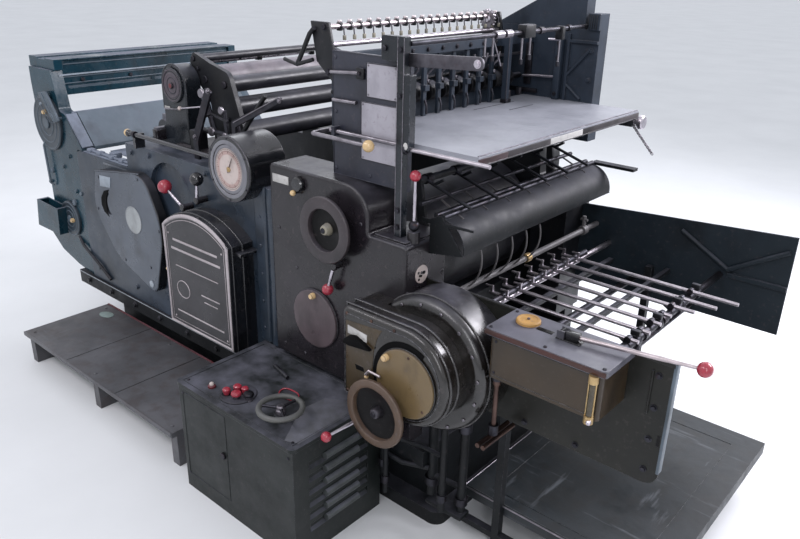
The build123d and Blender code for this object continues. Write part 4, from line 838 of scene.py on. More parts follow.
def add_teardrop_trim():
    """A pale disc, a tag, a black crescent painted as the shade in the cover's slot, and a plug on the
    cover, and a seam along its top.
    """
    p = Piece()
    rim = [(58, 0), (58, 2.4), (55, 2.4), (54, 1.2), (0, 1.2)]
    p.lathe("mint_grey", rim, (-532, HOUSING_FACE, 705), NEAR, 64)
    tag = [(-769, 849), (-679, 856), (-690, 809), (-774, 800)]
    p.plate("label_blue", tag, HOUSING_FACE - 2, 2.5, 0.5)
    # A flat black crescent painted as the shade inside the cover's slot.
    crescent = [(-704, 799), (-750, 784), (-780, 748), (-784, 716), (-768, 688), (-730, 672), (-740, 700),
                (-743, 728), (-736, 756), (-718, 782)]
    p.plate("crescent", crescent, HOUSING_FACE - 0.8, 1.5, 0)
    plug = arc(15, 0, 360, 24, (-446, 444))[:-1]
    p.plate("label_blue", plug, HOUSING_FACE - 2.5, 3, 0.8)
    p.make("teardrop_trim")

    p = Piece()
    p.tube("teardrop", [(-806, -549, 862), (-640, -549, 888), (-452, -549, 914)], 2.5, 8)
    p.brick("teardrop", (-800, -560), (-512, -508), (884, 894))
    p.make("teardrop_edge")


def add_disc_trim():
    """Rings, cream knobs and holes on the round covers, and a black ring painted as the shadow in the gap
    round the gear disc.
    """
    covers = (("inspection", 560, 628, 100, INSPECTION_FACE, (0, 84), "housing"),
              ("gear", 1057, 643, 102, GEAR_DISC_FACE, (-63, 63), "cover"),
              ("end", -1262, 992, 126, ROUND_COVER_FACE, (0, 50), "ink_end"),
              ("low", -1176, 551, 85, ROUND_COVER_FACE, (34, 0), "ink_end"))
    for name, x, z, radius, face, knob, finish in covers:
        place = (x + knob[0], face, z + knob[1])
        p = Piece()
        p.lathe("cream_ball", [(10.5, 0), (10.5, 10), (8, 14.6), (0, 15)], place, NEAR, 28)
        if finish == "ink_end":
            for share in (0.45, 0.7, 0.93):
                p.ring("strap", radius * share, 2.2, (x, face, z), NEAR, 64)
            p.button("strap", radius * 0.2, 7, 2, (x, face, z), NEAR)
        else:
            p.ring(finish, radius + 1, 2.2, (x, face + 9, z), NEAR, 64)
        p.make(name + "_disc_trim")

    p = Piece()
    p.lathe("dish", [(6, 0), (6, 0.7), (0, 0.7)], (557, INSPECTION_FACE, 713), NEAR, 20)
    # A black ring painted as the shadow in the gap round the gear disc.
    p.ring("crescent", 103, 3, (1057, GEAR_COVER_FACE - 1, 643), NEAR, 72)
    p.make("disc_shadow_ring_and_hole")


def add_housing_trim():
    """A label and knobs on the housing, and a dotted disc, lid and edge bead on its block."""
    p = Piece()
    p.brick("label", (370, 446), (-552.4, -549.5), (1053, 1080), 0.6)
    handle = [(0, 0), (21, 0), (24, 3), (24, 12), (20, 17), (0, 18)]
    p.lathe("black_ball", handle, (497, HOUSING_FACE, 1068), NEAR, 32)
    knobs = ((484, -568, 1040, 9.5, "cream_ball"), (671, -340, 1118, 9, "red_paint"),
             (663, -400, 1118, 9, "red_paint"))
    for x, y, z, size, finish in knobs:
        base = (x, y + 17, z) if finish == "cream_ball" else (x, y, z - 8)
        p.tube("iron", [base, (x, y, z)], size * 0.5, 14)
        p.ball(finish, size, (x, y, z), 24)
    p.make("housing_knobs")

    p = Piece()
    p.lathe("cream", [(28, 0), (28, 1.6), (26, 2.2), (0, 2.2)], (935, -478, 872), RIGHT, 48)
    for _ in range(9):
        angle = chance.uniform(0, 6.3)
        reach = chance.uniform(4, 20)
        place = (936.8, -478 + reach * math.cos(angle), 872 + reach * math.sin(angle))
        p.lathe("olive", [(4.5, 0), (4.5, 0.8), (0, 0.8)], place, RIGHT, 10)
    p.brick("lid", (826, 896), (-520, -436), (BLOCK_TOP, BLOCK_TOP + 6), 2)
    outline = [(804, -541), (925, -541), (925, -405), (804, -405)]
    p.tube("housing", level(outline, BLOCK_TOP + 0.5), 3, 8, closed=True)
    p.make("block_trim")


def add_gear_cover_trim():
    """Beads along the stepped cover; its raised plate, olive as a painted reflection; a black crescent
    painted as the shadow beside the gear disc; a label, handles, and a slot painted black as the shade
    inside it.
    """
    shape = [(812, 505), (812, 804), (1045, 804), *arc(149, 88, -88, 40, GEAR_CENTRE), (1045, 506)]
    p = Piece()
    for y in (-658, -626):
        p.bead("olive", shape, y, 4.5, 10)
    p.tube("olive", upright(arc(205, 150, -88, 56, GEAR_CENTRE), -556), 4, 10)
    inner = [(822, 522), (822, 782), (1045, 782), *arc(127, 88, -88, 40, GEAR_CENTRE), (1045, 528)]
    p.bead("gloss", inner, GEAR_COVER_FACE, 2.4, 8)
    p.make("gear_cover_beads")

    plate = [(826, 524), (826, 760), (966, 772), (948, 740), (936, 700), (932, 650), (938, 600),
             (952, 560), (972, 528)]
    p = Piece()
    # The raised plate's olive colour is a painted reflection.
    p.plate("olive_reflection_plate", plate, GEAR_COVER_FACE - 1.2, 3, 0.6)
    # A flat black crescent painted as the shadow at the upper left of the gear disc.
    shade = arc(122, 60, 210, 30, GEAR_DISC_CENTRE) + arc(103, 210, 60, 30, GEAR_DISC_CENTRE)
    p.plate("crescent", shade, GEAR_COVER_FACE - 1.8, 2.4, 0)
    p.plate("label", [(835, 747), (910, 739), (910, 715), (835, 722)], GEAR_COVER_FACE - 3, 3, 0.5)
    handle = [(825, 694), (832, 708), (850, 722), (872, 727), (900, 717), (934, 700), (905, 697),
              (880, 694), (850, 690)]
    p.plate("crescent", handle, GEAR_COVER_FACE - 18, 18, 4)
    # A flat black plate painted as the shade inside a slot.
    p.plate("crescent", [(864, 630), (896, 630), (900, 617), (868, 615)], GEAR_COVER_FACE - 2.2, 2, 0)
    p.tube("lever_steel", [(915, -682, 612), (922, -699, 626), (934, -699, 642), (977, -699, 639)], 4)
    p.ball("cream_ball", 7, (915, -688, 610), 20)
    p.make("gear_cover_fittings")


# Handwheels and levers


def add_handwheel(node, x, z, front, rim, hub_finish, seat, cast):
    """A cast wheel with a rounded rim, a dished web with rings and a turned hub."""
    radius = 104
    thick = 15
    dish = 26
    inside = radius - rim
    web = [(20, dish - 4), (inside - 14, dish - 4), (inside - 9, dish - 7), (inside - 3, dish - 7),
           (inside, dish - 9)]
    edge = [(inside, dish - 9), (inside, 4), (inside + 1.5, 1), (inside + 5, 0), (radius - 6, 0),
            (radius - 2, 1.2), (radius, 4), (radius, thick - 4), (radius - 2, thick - 1),
            (radius - 5, thick), (inside + 4, thick), (inside + 4, dish), (20, dish)]
    hub = [(0, 1), (9, 1), (14, 3), (16, 7), (20, dish - 4), (20, dish)]
    nut = [(0, -3), (7, -3), (8.5, -1), (8.5, 2)]
    shaft = [(12, dish), (12, seat - front - 0.3), (0, seat - front - 0.3)]
    p = Piece()
    for part, finish in ((web, "dish"), (edge, cast), (hub, hub_finish), (nut, "iron"), (shaft, "steel")):
        p.lathe(finish, part, (x, front, z), FAR, 72)
    p.make(node + "_cast", node, replaces=node)


def add_ball_lever(node, pivot, end, seat, space, radius, finish):
    """A turned boss, a tapered stick and a ball."""
    x, z = pivot
    y = seat - space
    boss = [(0, -8.3), (11, -8.3), (14, -6), (14, 3), (12, 5), (12, space - 0.3)]
    p = Piece()
    p.lathe("housing", boss, (x, y, z), FAR, 32)
    p.add("bright", stick((x, y, z), (end[0], y, end[1]), 6, radius))
    p.ball(finish, radius, (end[0], y, end[1]))
    p.make(node + "_ball", node, replaces=node)


def add_wheels_and_levers():
    """Two handwheels and three ball levers at the operator's side, and the cabinet's wheel."""
    add_handwheel("upper_handwheel", 652, 966, -602, 38, "hub_cream", HOUSING_FACE, "wheel")
    add_handwheel("lower_handwheel", 987, 538, -738, 24, "arm", GEAR_COVER_FACE, "wheel_brown")
    add_ball_lever("housing_lever", (672, 851), (642, 764), HOUSING_FACE, 26, 18.5, "red")
    add_ball_lever("side_lever", (-160, 843), (-272, 901), FRAME_FACE, 40, 27, "red")
    add_ball_lever("black_lever", (-66, 890), (-58, 973), FRAME_FACE, 40, 25, "black_ball")
    centre = (680, -815, 462)
    p = Piece()
    p.ring("cabinet_wheel", 66, 9, centre, UP, 64)
    hub = [(0, -19.7), (16, -19.7), (16, -6), (13, -2), (13, 5), (10, 9), (0, 9)]
    p.lathe("steel", hub, centre, UP, 32)
    for angle in (90, 210, 330):
        out = Vector((math.cos(math.radians(angle)), math.sin(math.radians(angle)), 0))
        p.lathe("iron", [(4.8, 10), (4.2, 35), (5, 60)], centre, out, 14)
    p.make("speed_handwheel_cast", "speed_handwheel", replaces="speed_handwheel")


def add_stick_levers():
    """The levers on the ledge, under the gear housing and on the box, and the feeder's cranked handle."""
    ledge, top = (920, -500, 1022.3), (920, -500, 1167.3)
    p = Piece()
    p.ball("iron", 16, ledge)
    p.add("bright", stick(ledge, top, 5, 16))
    p.ball("red", 16, top)
    p.make("ledge_lever_ball", "ledge_lever", replaces="ledge_lever")

    foot, tip = (905, -588, 466), (861, -800, 436)
    barrel = [(0, -14), (10.5, -14), (12, -12.5), (12, 12.5), (10.5, 14), (0, 14)]
    p = Piece()
    p.lathe("iron", barrel, foot, RIGHT, 28)
    p.add("bright", stick(foot, tip, 6, 16))
    p.ball("red", 16, tip)
    p.make("foot_lever_ball", "foot_lever", replaces="foot_lever")

    neck, tip = (1472, -516, 869), (1760, -468, 875)
    p = Piece()
    p.brick("black_ball", (1425, 1472), (-527, -505), (859.4, 879), 3)
    p.lathe("black_ball", [(0, -11), (9.6, -11), (9.6, 11), (0, 11)], (1425, -516, 869), NEAR, 28)
    p.add("lever_steel", stick(neck, tip, 6, 18))
    p.ball("red", 18.5, tip)
    p.make("box_lever_ball", "box_lever", replaces="box_lever")

    y = -502.5
    grip = -575
    bend = [(858.2, y), (596, y), (588, y - 3), (585, y - 10), (585, grip + 10), (588, grip + 3),
            (596, grip), (800, grip)]
    p = Piece()
    p.tube("rail", level(bend, 1244.68), 6.6, 16)
    p.ball("cream_ball", 17, (812, grip, 1244.68))
    p.make("crank_handle_bar", "crank_handle", replaces="crank_handle")


def add_stop_buttons():
    """Stems and caps of the two buttons on the control cabinet."""
    stem = [(0, 0), (14, 0), (14, 3), (12, 4), (12, 16), (0, 16)]
    head = [(12, 15), (16, 16), (17, 18), (17, 22), (15, 26), (9, 28), (0, 28)]
    p = Piece()
    for x, y, finish in ((490, -836, "red"), (522, -812, "iron")):
        for profile, shade in ((stem, "steel"), (head, finish)):
            p.lathe(shade, profile, (x, y, CABINET_TOP), UP, 32)
    p.make("stop_button_caps", replaces="stop_buttons")


def add_dial():
    """The dial card with its scale marks, needle and bezel."""
    x, z = DIAL_CENTRE
    place = (x, -586, z)
    front = to(place, NEAR)
    p = Piece()
    p.cap("cream", 72, -4, place, NEAR, 64)
    p.lathe("bezel", [(72, -4), (72, 2), (75, 2.6), (82, 1), (83.7, 0), (83.7, -4)], place, NEAR, 72)
    p.lathe("cream_ring", [(50, 0.3), (63, 0.3)], place, NEAR, 64)
    p.lathe("ink", [(67, 0.3), (68.4, 0.3)], place, NEAR, 64)
    for i in range(60):
        reach, width, middle = (5, 0.9, 61.5) if i % 5 else (10, 1.5, 59)
        mark = brick((-reach / 2, reach / 2), (-width / 2, width / 2), (0, 0.6), 0)
        turn = Matrix.Rotation(math.radians(6 * i), 4, "Z") @ Matrix.Translation((middle, 0, 0.3))
        p.add("ink", moved(mark, front @ turn))
    needle = prism([(-12, -2.2), (42, -0.6), (48, 0), (42, 0.6), (-12, 2.2)], 1.2)
    turn = Matrix.Translation((0, 0, 2)) @ Matrix.Rotation(math.radians(62), 4, "Z")
    p.add("ink", moved(needle, front @ turn))
    p.lathe("brass", [(9, 0), (9, 3), (6, 5), (0, 5.4)], place, NEAR, 28)
    p.make("dial_card", replaces="dial_face")

    bezel = [(84.5, -2), (85, 1.2), (88, 1.8), (94, 1.6), (98, 0.4), (98, -1)]
    p = Piece()
    p.lathe("bezel", bezel, (x, DIAL_FACE, z), NEAR, 72)
    p.ring("arm", 109, 1.6, (x, DIAL_FACE + 1.5, z), NEAR, 72)
    p.make("dial_bezel")


# Feeder


def add_feeder_rails():
    """Rails, sheet grips, end brackets, stay and arm of the feeder."""
    rail = (557, 1534)
    p = Piece()
    p.across("lever_steel", rail, (-490, 390), 8, 20)
    p.across("rod", (565, 1485), (-478, 378), 8, 20)
    p.across("iron", FRONT_RAIL, (-490, 467), 7, 20)
    p.tube("rod", [(906, -502.5, 1238), (1165, -502.5, 1238)], 6, 20)
    for y in range(369, -430, -42):
        p.brick("dark", (549, 565), (y - 7, y + 7), (1521, 1545), 3)
        p.lathe("lever_steel", [(6, 0), (7, 2), (7, 5), (6, 7), (0, 7.6)], (557, y, 1544), UP, 20)
        p.tube("arm", [(565, y, 1534), (574, y, 1528), (577, y, 1506)], 2.2, 8)
        p.brick("hub_cream", (574, 580), (y - 5, y + 5), (1496, 1510))
    for y in (-490, 378):
        bracket = [(497, 1548), (571, 1548), (588, 1474), (588, 1380), (520, 1436)]
        p.plate("dark", bracket, y, 12, 2.5)
        for x, z in (rail, (572, 1410)):
            p.hexes("iron", 8, (x, y, z), NEAR)
    arm = [(883.5, 1457), (1105, 1468), *arc(17, -86, 86, 14, (1105, 1485)), (1105, 1502), (883.5, 1491)]
    p.plate("arm", arm, -498, 8, 1.5)
    p.hexes("bright", 8, (1105, -498, 1485), NEAR)
    p.make("feeder_rails_set", replaces="feeder_rails")

    teeth = []
    for angle in range(0, 360, 20):
        teeth += arc(35, angle, angle + 8, 1) + arc(30, angle + 9, angle + 18, 1)
    p = Piece()
    p.add("rail", at(prism(teeth, 9, 1), (557, 331, 1524), NEAR))
    p.button("bright", 14, 16, 3, (557, 331, 1524), NEAR)
    slant = [(446, -500, 1420), (470, -498, 1460), (500, -496, 1512), (520, -496, 1530)]
    p.tube("dark", slant, 7)
    p.tube("dark", [(385, -496, 1430), (446, -500, 1420), (512, -496, 1440)], 6)
    p.make("feeder_rail_fittings")


def add_front_rail_fittings():
    """Clamps, hanging rods and strips on the front rail."""
    x, z = FRONT_RAIL
    p = Piece()
    for ends in ((-102, -62), (-48, -15)):
        p.across("rail", FRONT_RAIL, ends, 12, 20)
    for ends in ((150, 172), (330, 344)):
        p.across("iron", FRONT_RAIL, ends, 11, 20)
    p.brick("dark", (866, 898), (46, 105), (1498, 1538), 3)
    for y, low in ((52, 1426), (100, 1436), (286, 1400), (-150, 1448), (-109, 1448)):
        p.tube("rail", [(x, y, z), (x, y, low)], 3.5, 10)
        p.cap("iron", 6, 16, (x, y, low - 8), UP, 16)
    p.tube("rail", [(x, -104, 1498), (880, -57, 1422)], 2.5, 8)
    p.brick("dark", (868, 896), (276, 296), (1480, 1524), 3)
    p.tube("bright", [(x, 286, 1480), (840, 286, 1478)], 4)
    p.make("front_rail_fittings")

    p = Piece()
    p.brick("navy", (773, 799), (452, 476), (TABLE_TOP, 1466), 3)
    p.tube("bright", [(640, 462, 1320), (700, 460, 1326), (786, 458, 1330)], 5)
    for z in (1270, 1400, 1450):
        p.hexes("iron", 6, (786, 452, z), NEAR)
    p.make("table_far_post")


def add_feed_roll_bits():
    """Light clamps and levers over the dark rolls behind the comb."""
    p = Piece()
    for y in range(-375, 376, 75):
        p.across("iron", (612, 1318), (y - 17.2, y + 17.2), 20, 24)
        p.brick("rail", (600, 628), (y - 26, y - 19), (1334, 1372), 2)
        p.tube("rail", [(614, y - 22, 1362), (640, y - 14, 1392), (644, y - 12, 1420)], 4, 10)
        p.cap("arm", 15, 5, (612, y + 26, 1318), NEAR)
        p.button("bright", 6, 5, 1, (630, y - 22, 1352), RIGHT)
    p.across("rail", (632, 1404), (-455, 455), 5)
    p.across("iron", (596, 1440), (-470, 470), 7)
    p.brick("navy", (566, 570), (-474, 474), (1190, 1436))
    p.across("dark", (568, 1350), (-474, 474), 6)
    p.make("feed_roll_bits")

    p = Piece()
    for y in range(-225, 226, 75):
        p.tube("iron", [(661, y, 1300), (669, y, 1280), (668, y, 1256)], 3.5, 10)
        p.hexes("iron", 6, (668, y, 1459), RIGHT)
    for x, y in ((640, 368), (632, 455), (660, 330)):
        p.brick("rail", (x - 10, x + 10), (y - 7, y + 7), (TABLE_TOP, TABLE_TOP + 27), 3)
    p.tube("arm", [(706.5, 252, 1250), (706.5, 252, 1486)], 1.6, 8)
    p.brick("iron", (686, 712), (246, 280), (TABLE_TOP, TABLE_TOP + 13), 2)
    p.make("comb_fittings")


def add_table_trim():
    """Slots and the edge strip of the feed table, and the chain at its far end."""
    p = Piece()
    for x, *ends in ((708, 56, 304), (700, -420, -350), (792, 150, 300)):
        p.brick("dish", (x - 1.6, x + 1.6), ends, (TABLE_TOP, TABLE_TOP + 0.5), 0)
    p.across("arm", (1107, 1250), (-474, 474), 2.2, 10)
    strips = ((-477, -340, "maroon"), (-340, -116, "mottle"), (-116, 77, "label"), (77, 477, "mottle"))
    for *ends, finish in strips:
        p.brick(finish, (1110, 1112.5), ends, (1225, 1243), 0.5)
    p.across("dark", (1112, 1224), (-477, 477), 2, 8)
    p.make("table_trim")

    p = Piece()
    for i in range(26):
        place = (1084 + i * 4.2, 452, 1226 - i * 4.4)
        turn = to(place, (0.69, 0, -0.72), 90 * (i % 2))
        link = upright(oval(4, 6.5, 12), 0)
        p.add("steel", moved(tube(link, 1.3, 6, closed=True), turn))
    p.make("table_chain", sharp=60)

    p = Piece()
    p.brick("dark", (1040, 1110), (440, 476), (1196, 1234), 4)
    knob = [(0, 0), (10, 0), (10, 12), (22, 15), (24, 20), (24, 30), (20, 34), (0, 35)]
    p.lathe("bright", knob, (1110, 458, 1214), RIGHT, 32)
    p.make("table_far_knob")


def add_side_plate_trim():
    """Beads round the light plates, and small bars, screws and strips beside them."""
    p = Piece()
    for x, z in (((706.5, 857), (1176.5, 1342)), ((727.5, 840.5), (1358.5, 1451))):
        p.bead("dark", corners(x, z), LIGHT_PLATE_FACE, 1.4, 8)
    p.make("light_plate_edges")

    p = Piece()
    p.tube("rail", [(596, -497, 1334), (690, -497, 1336)], 6, 14)
    p.tube("rail", [(590, -499, 1413), (700, -499, 1421)], 6, 14)
    p.brick("dark", (690, 720), (-500, -490), (1404, 1436), 3)
    p.hexes("iron", 6, (705, -500, 1420), NEAR)
    p.bead("side", corners((590, 883), (1112, 1472)), SIDE_PLATE_FACE, 2, 8)
    p.make("side_plate_fittings")

    p = Piece()
    for x in (860, 882):
        p.tube("steel", upright([(x, 984), (x, 1530)], POST_FACE - 0.5), 1.2, 6)
    p.ring("iron", 12, 4, (888, -503, 1238), RIGHT)
    tag = [(894 + x, 1248 + z * 1.3) for x, z in arc(8, 0, 330, 11)]
    p.plate("label", tag, POST_FACE - 1, 2, 0.4)
    p.lathe("iron", [(8, 0), (8, 6), (5, 8), (0, 8)], (815, POST_FACE, 1500), NEAR, 24)
    p.make("post_trim")


def add_tower_trim():
    """Ribs and clamps on the far tower's inner face and head."""
    p = Piece()
    for x in range(886, 919, 8):
        p.brick("dark", (x, x + 3), (464.5, 467), (1505, 1554), 0.5)
    p.brick("iron", (560, 700), (466, 477), (1260, 1275), 2)
    p.brick("iron", (640, 668), (468, 477), (1290, 1440), 2)
    p.ring("dark", 40, 7, (500, 474, 1330), NEAR)
    p.button("iron", 24, 10, 3, (500, 477, 1330), NEAR)
    p.make("tower_fittings")


# Ledge, rollers and inking end


def add_arch_trim():
    """Rings, a label, rods and an edge bead on the arched gearbox."""
    x, z = ARCH_CENTRE
    face = (x, -426, z)
    p = Piece()
    rings = ((58, 3, "arch_ring"), (44, 2.5, "arch_ring"), (30, 2.5, "iron"), (63, 3, "enamel"))
    for radius, thickness, finish in rings:
        p.ring(finish, radius, thickness, face, NEAR, 64)
    p.lathe("arch_ring", [(50, 0), (50, 1), (0, 1)], face, NEAR, 48)
    p.button("iron", 12, 7, 2, face, NEAR)
    p.lathe("red_paint", [(9, 0), (9, 3), (0, 4)], (x, -432, z), NEAR, 24)
    p.brick("label", (-425, -388), (-422, -420), (1158, 1172), 0.5)
    p.tube("rail", [(-425, -421, 1160), (-320, -424, 1170), (-294, -440, 1178)], 4, 10)
    p.ball("cream", 8, (-294, -440, 1180), 20)
    p.tube("bright", [(-290, -440, 1180), (-163, -440, 1203)], 3, 10)
    half = 78.5
    crown = [(x + half, 1160), *arc(half, 0, 180, 32, ARCH_CENTRE), (x - half, 1160)]
    p.tube("enamel", upright(crown, -417), 3, 8)
    p.make("arch_gearbox_trim")


def add_ledge_fittings():
    """The control rod's ball and collars, and arms, pipes and blocks behind it."""
    p = Piece()
    p.ball("cream_ball", 15, (-523, -536, 1066))
    for x in (-480, 40):
        p.tube("iron", [(x, -536, 1066), (x + 14, -536, 1066)], 13, 20)
    p.make("control_rod_trim")

    p = Piece()
    arms = ((-400, (-186, 1246), (-139, 1112), 11), (-420, (-46, 1204), (-32, 1112), 9),
            (-395, (-5, 1150), (18, 1040), 9))
    for y, start, end, wide in arms:
        p.tube("iron", upright([start, end], y), wide, 14)
        for x, z in (start, end):
            p.button("rail", wide * 1.6, 8, 2, (x, y - wide, z), NEAR)
    p.brick("dark", (-240, 20), (-418, -392), (1100, 1116), 4)
    p.brick("dark", (-230, -190), (-450, -395), (1035, 1112), 5)
    p.brick("dark", (-60, 0), (-450, -395), (1035, 1118), 5)
    p.tube("iron", [(-196, -430, 1150), (-100, -436, 1186), (40, -470, 1180)], 5)
    p.tube("dark", [(60, -440, 1120), (150, -440, 1220), (210, -436, 1290)], 8, 14)
    p.brick("housing", (-470, -436), (-460, -400), (1035, 1078), 4)
    p.brick("lid", (-466, -440), (-456, -404), (1078, 1086), 3)
    p.brick("wheel", (-340, -60), (-440, -200), (1034, 1038))
    p.make("ledge_fittings")


def add_link_and_motor_trim():
    """Bolts and a rod on the link plates, and the fins of the motor."""
    p = Piece()
    for x, z in ((312, 1290), (-176, 1094), (-76, 1272)):
        p.hexes("steel", 7, (x, -462, z), NEAR)
    p.tube("rail", [(62, -463, 1182), (312, -463, 1300)], 2, 8)
    p.make("link_plate_trim")

    p = Piece()
    p.ring("lid", 37, 3, (-565, -300, 1048), NEAR)
    for y in range(-345, -264, 10):
        p.ring("lid", 38.5, 1.6, (-565, y, 1048), NEAR)
    p.brick("lid", (-600, -530), (-330, -275), (1080, 1104), 3)
    p.make("motor_fins")


def add_roller_trim():
    """Journals and collars of the rollers, and bolts of their brackets."""
    ends = ((-345, NEAR), (345, FAR))
    p = Piece()
    for x, z, radius in ((-170, 1180, 14), (-135, 1275, 14), (-95, 1100, 14), (-320, 1353, 10.5)):
        for y, way in ends:
            p.button("iron", radius, 6, 2, (x, y, z), way)
    for y, way in ends:
        for x, z in ((-290, 1320), (-120, 1150), (-40, 1080), (-180, 1060)):
            p.hexes("iron", 8, (x, y, z), way)
    p.make("roller_journals")

    x, z = INK_ROLLER_CENTRE
    p = Piece()
    for y in (-300, 300):
        p.lathe("rail", [(48.3, -4), (50, -2), (50, 2), (48.3, 4)], (x, y, z), FAR, 48)
    for y, way in ends:
        p.button("iron", 14, 6, 2, (x, y, z), way)
    p.make("ink_roller_bands", "ink_roller")

    p = Piece()
    p.across("bright", (-360, 1330), (-300, 300), 7, 14)
    for y in (-296, -100, 100, 296):
        p.tube("iron", [(-360, y, 1330), (-322, y, 1350)], 5)
    for y in (-296, 0, 296):
        p.brick("dark", (-372, -348), (y - 12, y + 12), (1318, 1342), 3)
    p.make("roller_guard_rod")


def add_ink_end_trim():
    """Strips on the hood, fittings on the frame at the operator's side, and bars and plates on the shelf,
    pale partly as painted sky reflection.
    """
    p = Piece()
    for z in (1168, 1196, 1252):
        p.brick("strap", (-1186, -1178), (-478, 478), (z, z + 5))
    p.brick("label_blue", (-1180, -1173), (-470, 470), (1205, 1212))
    p.brick("strap", (-1192, -1186), (-470, 470), (1146, 1162))
    for y in (-360, -120, 120, 360):
        p.button("iron", 9, 8, 2, (-1181, y, 1182), RIGHT)
    p.make("hood_strips")

    strap = [(-1270, 1124), (-1207, 1136), (-1124, 1022), (-1161, 1011)]
    p = Piece()
    p.bead("ink_end", strap, -545.5, 2.2, 8)
    p.across("apron", (-1104, 1054), (-470, 470), 5, 10)
    panel = [(-1098, 1046), (-982, 918), (-976, 924), (-1092, 1054)]
    p.plate("apron", panel, -504, 50, 1.5)
    # A pale plate on the shelf top, painted as the sky's reflection there.
    p.brick("apron", (-975, -616), (-506, -452), (905, 909), 1.5)
    for x in (-940, -860, -760, -680):
        p.brick("apron", (x - 16, x + 16), (-500, -470), (908, 924), 5)
    p.button("label_blue", 7, 6, 1, (-1236, -541, 1086), NEAR)
    for x, z, radius in ((-1120, 640, 14), (-1040, 700, 10), (-1300, 760, 12), (-1335, 700, 8)):
        p.button("strap", radius, 12, 3, (x, INK_FRAME_FACE, z), NEAR)
    p.tube("strap", [(-1320, -512, 900), (-1320, -522, 880), (-1310, -522, 700), (-1300, -512, 690)], 5)
    p.tube("dark", [(-1130, -505, 470), (-1080, -516, 440), (-940, -520, 380), (-860, -516, 330)], 7)
    p.make("ink_end_fittings")

    p = Piece()
    # Pale blocks, bar and plate on the shelf, their pale colour partly painted sky reflection.
    p.brick("apron", (-640, -606), (-470, -430), (905, 948), 4)
    p.brick("apron", (-800, -760), (-480, -440), (905, 930), 4)
    p.tube("apron", [(-960, -486, 914), (-620, -486, 914)], 6)
    p.brick("apron", (-900, -700), (-420, -250), (905, 909))
    p.make("shelf_fittings")


# Delivery


def add_guard_trim():
    """A blank tag, tubes and bars on the guard, and collars on the bars near it."""
    turn = Matrix.Translation((1044, -14, 944)) @ Matrix.Rotation(math.radians(90), 4, "Z")
    tag = facing(corners((0, 52), (0, 34)), 0, 2, 0.4)
    p = Piece()
    p.add("label", moved(tag, turn @ Matrix.Rotation(math.radians(14), 4, "X")))
    for x in (952, 978):
        p.across("iron", (x, 1046), (-441, 441), 8.6, 20)
    p.across("brass", (1000, 805), (-12, 12), 15, 20)
    p.make("guard_tag")

    p = Piece()
    for y in range(-380, 341, 120):
        p.tube("dull_wire", [(880, y + 40, 1064), (960, y + 10, 1046), (1008, y - 6, 1036)], 3, 10)
    for y in (-430, 430):
        p.hexes("iron", 7, (960, y, 1044), UP)
    p.across("iron", (890, 1066), (-436, 436), 7)
    p.make("guard_bars")

    p = Piece()
    for y in (-350, -210, -70, 70, 210, 350):
        p.across("iron", (834, 1112), (y, y + 26), 16, 20)
    p.make("stripper_collars")


def add_delivery_trim():
    """Collars, hooks and joints along the delivery rods."""
    carrier, high = 1476, 757
    p = Piece()
    for i in range(7):
        y = -224.1 + 74.7 * i
        p.tube("iron", [(1448, y, high), (carrier, y, 740)], 5, 10)
        p.cap("iron", 10, 18, (carrier, y + 9, high), NEAR, 18)
    for y in (-187, -38, 112, 261):
        p.across("iron", (carrier, 734), (y, y + 20), 19, 20)
        p.brick("dark", (1462, 1490), (y + 2, y + 18), (752, 768), 2)
    p.across("iron", (1060, high), (-305, 305), 10.5, 16)
    p.make("rod_collars")

    p = Piece()
    p.brick("dark", (1100, 1120), (-420, 420), (700, 716), 2)
    p.brick("dark", (1290, 1306), (-446, 494), (690, 706), 2)
    p.across("iron", (1180, 640), (-440, 490), 12, 16)
    p.across("iron", (1400, 600), (-440, 490), 9, 16)
    p.make("delivery_cross_bars")


def add_box_trim():
    """Worn filler cap, front strip, slot, lever head and sight glass of the lever box."""
    cap = [(32.4, 0), (32.4, 7), (30, 10.2), (24, 10.2), (23, 9.5), (0, 9.7)]
    p = Piece()
    p.lathe("gold_paint", cap, (1318, -505, BOX_LID_TOP), UP, 56)
    p.button("ink", 4, 4, 1, (1318, -505, BOX_LID_TOP + 9.4))
    p.ring("ink", 33, 1.2, (1318, -505, BOX_LID_TOP + 0.4), UP, 56)
    p.make("filler_cap")

    p = Piece()
    p.brick("lid_edge", (1251, 1589), (-606, -604.4), (840, 854), 0.4)
    p.brick("dish", (1352, 1398), (-524, -508), (855.6, 857), 0.2)
    p.brick("black_ball", (1414, 1480), (-534, -498), (855.8, 859))
    p.brick("cover", (1262, 1266), (-600, -452), (712, 714), 0.4)
    p.bead("cover", corners((1272, 1568), (722, 830)), BOX_FACE, 1.2, 8)
    p.make("lever_box_trim")

    x, y = 1560, -604
    p = Piece()
    p.cap("glass", 8.6, 94, (x, y, 726), UP, 24)
    for z in (709, 818):
        p.cap("brass", 12, 20, (x, y, z), UP, 24)
    for guard in (x - 9.4, x + 9.4):
        p.tube("brass", upright([(guard, 724), (guard, 822)], y - 1.5), 2, 8)
    p.button("bright", 6, 9, 2, (x + 7, y - 9, 718), NEAR)
    p.make("sight_glass_tube", replaces="sight_glass")


